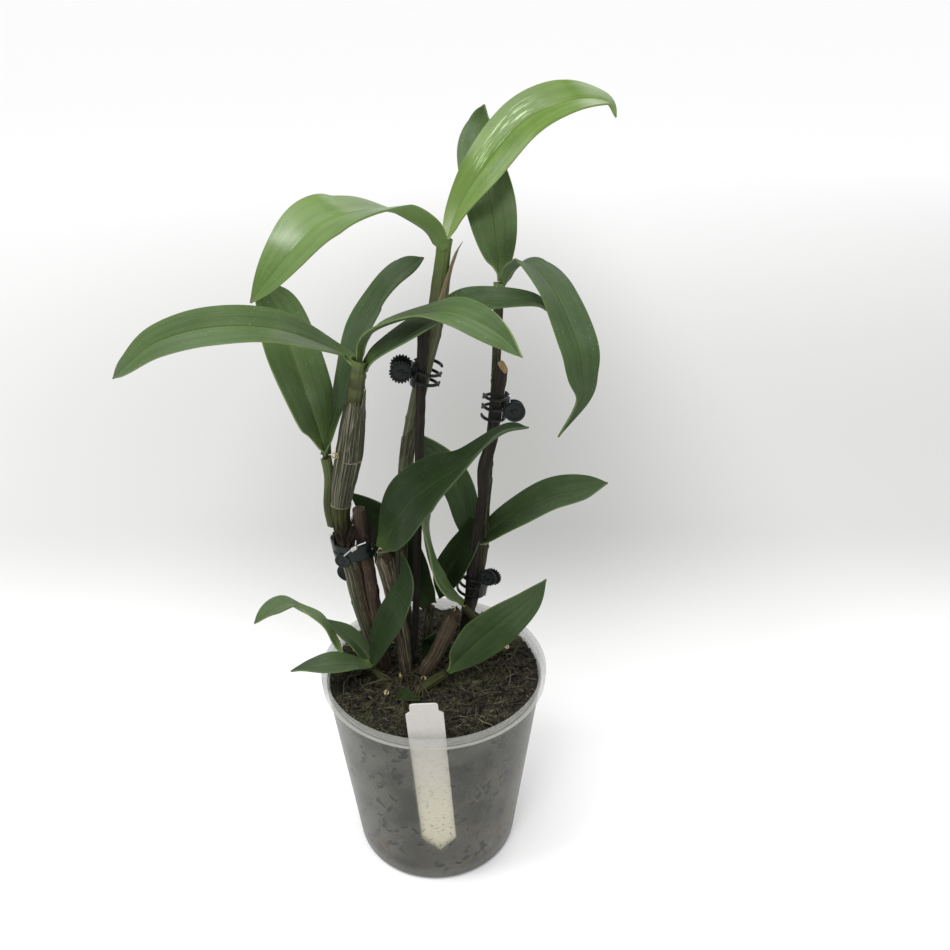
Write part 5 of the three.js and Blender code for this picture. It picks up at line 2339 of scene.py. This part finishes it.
    def build_spring(self) -> Object:
        """Makes the wire spring that closes the clip: two legs with a coil between them."""
        start, coil_start, coil_end, end = (Vector(point) for point in self.spring)
        steps = self.COIL_SIDES * self.COILS
        spots = [start]
        for k in range(steps + 1):
            turn = FULL_TURN * self.COILS * k / steps
            off = Vector((0, math.cos(turn), math.sin(turn))) * self.COIL
            spots.append(coil_start.lerp(coil_end, k / steps) + off)
        rows = tuple((*spot, self.WIRE) for spot in (*spots, end))
        return tube(f"{self.name}_spring", Route(rows), around=8, along=8 * steps)

    def build(self, plastic: Material, steel: Material) -> None:
        """Makes, dresses and seats both halves, the pin and the spring."""
        if self.spring:
            spring = self.build_spring()
            finish(spring, [steel], "pin", f"{self.name}_front", self.SPRING_SMOOTH, replaces=False)
        for which, half in (("front", self.front), ("rear", self.rear)):
            finish(self.build_half(which, half), [plastic], "clip", f"{self.name}_{which}", self.SMOOTH)
        finish(self.build_pin(), [steel], "pin", f"{self.name}_pin", self.SMOOTH)


CLIPS = (
    Clip(
        "clip_left", (-36.6, 0.6, 180), 170, (-0.12, -0.05, 1), (9.7, 6.6),
        Half((-3.4, 1.4), (4.2, 7.6, -4.5), 3.8), Half((-1, 3.8), (9.9, -7.5, -22.8), 5.3), claw_high=3.4,
        wing=True,
        spring=((-40.2, -8.9, 179.3), (-36.4, -9.3, 182.8), (-33.9, -9.3, 184.4), (-29.8, -8.0, 186.1)),
    ),
    Clip(
        "clip_centre", (-0.7, 9.4, 262.5), 182, (0.2, 0, 1), (5.8, 6.4),
        Half((-2.3, 2.3), (11.4, 4.2, 0.4), 5.2), Half((-4.6, 0, 4.6), (11.4, -2.8, 1.2), 5.2), lobes=20,
    ),
    Clip(
        "clip_right_upper", (30, 14.7, 245.5), -4, (0.1, 0, 1), (5.2, 6.3),
        Half((-5, 0, 5), (9.2, -4.6, -0.4), 4.9), Half((-2.5, 2.5), (8.8, 3.4, -2.6), 4.9),
    ),
    Clip(
        "clip_right_lower", (20, 14.8, 149), -22, (0.2, 0, 1), (6.7, 6.9),
        Half((-4.6, 0, 4.6), (7.8, -4.6, 8.2), 4.8), Half((-2.3, 2.3), (8.4, 2.6, 5), 4.8), lobes=20,
    ),
)


# ---------- the studio ----------


@dataclass(frozen=True)
class Studio:
    """A pale floor with painted shade behind the pot, soft light and the camera. The eye is in millimetres,
    and the rest in metres.
    """

    eye: Point = (19, -383, 419)
    pitch: float = 27.8
    yaw: float = 0.27
    lens: float = 36
    sensor: float = 36
    floor: float = 60
    world: float = 0.68

    # Each window's name, place, size and power. They face the plant's middle.
    WINDOWS = (
        ("window left", (-0.51, -0.25, 1.30), 0.3, 6),
        ("window front", (-0.17, -0.685, 1.17), 0.25, 2.5),
        ("window back", (0.5, 0.9, 1.1), 0.8, 4),
    )
    MIDDLE = (0, 0, 0.18)
    CEILING_WAY = (0.15, 0.25, -1)
    CEILING_ANGLE = 60
    CEILING_POWER = 1.55
    NEAREST = 0.01
    PAPER = (0.86, 0.86, 0.86)
    PALE_SHADE = (0.70, 0.70, 0.695)
    DEEP_SHADE = (0.315, 0.318, 0.306)

    def camera(self) -> None:
        """Makes the camera that the scene looks through."""
        data = bpy.data.cameras.new("camera")
        data.lens = self.lens
        data.sensor_width = self.sensor
        data.clip_start = self.NEAREST
        camera = bpy.data.objects.new("camera", data)
        camera.location = Vector(self.eye) * MM
        camera.rotation_euler = (math.radians(90 - self.pitch), 0, math.radians(-self.yaw))
        bpy.context.scene.collection.objects.link(camera)
        bpy.context.scene.camera = camera

    def light(self, name: str, kind: str, place: Point, aim: Point, power: float, **settings: float) -> None:
        """Adds a light.

        Args:
            name: Its name.
            kind: Its type.
            place: Where it stands.
            aim: The point that it faces.
            power: Its energy.
            settings: Its other properties.
        """
        data = bpy.data.lights.new(name, kind)
        data.energy = power
        for setting, value in settings.items():
            setattr(data, setting, value)
        light = bpy.data.objects.new(name, data)
        light.location = place
        light.rotation_euler = (Vector(place) - Vector(aim)).to_track_quat("Z", "Y").to_euler()
        bpy.context.scene.collection.objects.link(light)

    def ground(self) -> None:
        """Makes the floor, with a painted shadow that greys it some way behind the pot."""
        floor = added(bpy.ops.mesh.primitive_plane_add, size=self.floor)
        floor.name = "floor"
        g = Graph("floor paper")
        x, y, _ = g.parts(g.place())
        depth = y.eased(0.0, 0.33) * (1 - y.eased(0.45, 2.1))
        spread = x.eased(-0.9, -0.1) * 0.55 + (1 - abs(x - 0.04).eased(0.0, 0.3)) * 0.45
        tone = g.mix(depth, self.PAPER, g.mix(spread, self.PALE_SHADE, self.DEEP_SHADE))
        floor.data.materials.append(g.dress(tone, 0.8, 0.1))

    def sky(self) -> None:
        """Lights the studio evenly from all round."""
        world = bpy.data.worlds.new("studio")
        world.use_nodes = True
        background = world.node_tree.nodes["Background"]
        background.inputs["Color"].default_value = (1, 1, 1, 1)
        background.inputs["Strength"].default_value = self.world
        bpy.context.scene.world = world

    def build(self) -> None:
        """Sets up the whole studio."""
        self.camera()
        self.ground()
        angle = math.radians(self.CEILING_ANGLE)
        self.light("ceiling", "SUN", (0, 0, 0), self.CEILING_WAY, self.CEILING_POWER, angle=angle)
        for name, place, size, power in self.WINDOWS:
            self.light(name, "AREA", place, self.MIDDLE, power, size=size)
        self.sky()
        bpy.context.scene.view_settings.view_transform = "Standard"


# ---------- the whole plant ----------


def main() -> None:
    """Builds the studio and every piece, in order."""
    logging.basicConfig(level=logging.INFO, format="%(message)s")
    Studio().build()
    skins = {skin: look.material() for skin, look in STEM_SKINS.items()}
    label = Label()
    mix = BarkMix(Pot())
    mix.dress(mix.build(label), skins)
    mix.pot.dress(mix.pot.build(), mix.edge, label)
    label.dress(label.build(), mix.edge)
    for stem in STEMS:
        stem.dress(stem.build(), skins)
    carriers = {stem.node: stem for stem in STEMS}
    for sheath in SHEATHS:
        sheath.dress(sheath.build(carriers[sheath.node]), skins)
    Bits().build(mix, skins)
    plastic, steel = ClipFinish().material(), SteelFinish().material()
    for clip in CLIPS:
        clip.build(plastic, steel)
    leaf_skins = {look.age: [look.upper(), look.under(), look.edge()] for look in LEAF_FINISHES}
    for leaf in LEAVES:
        leaf.dress(leaf.build(), leaf_skins)


if __name__ == "__main__":
    main()
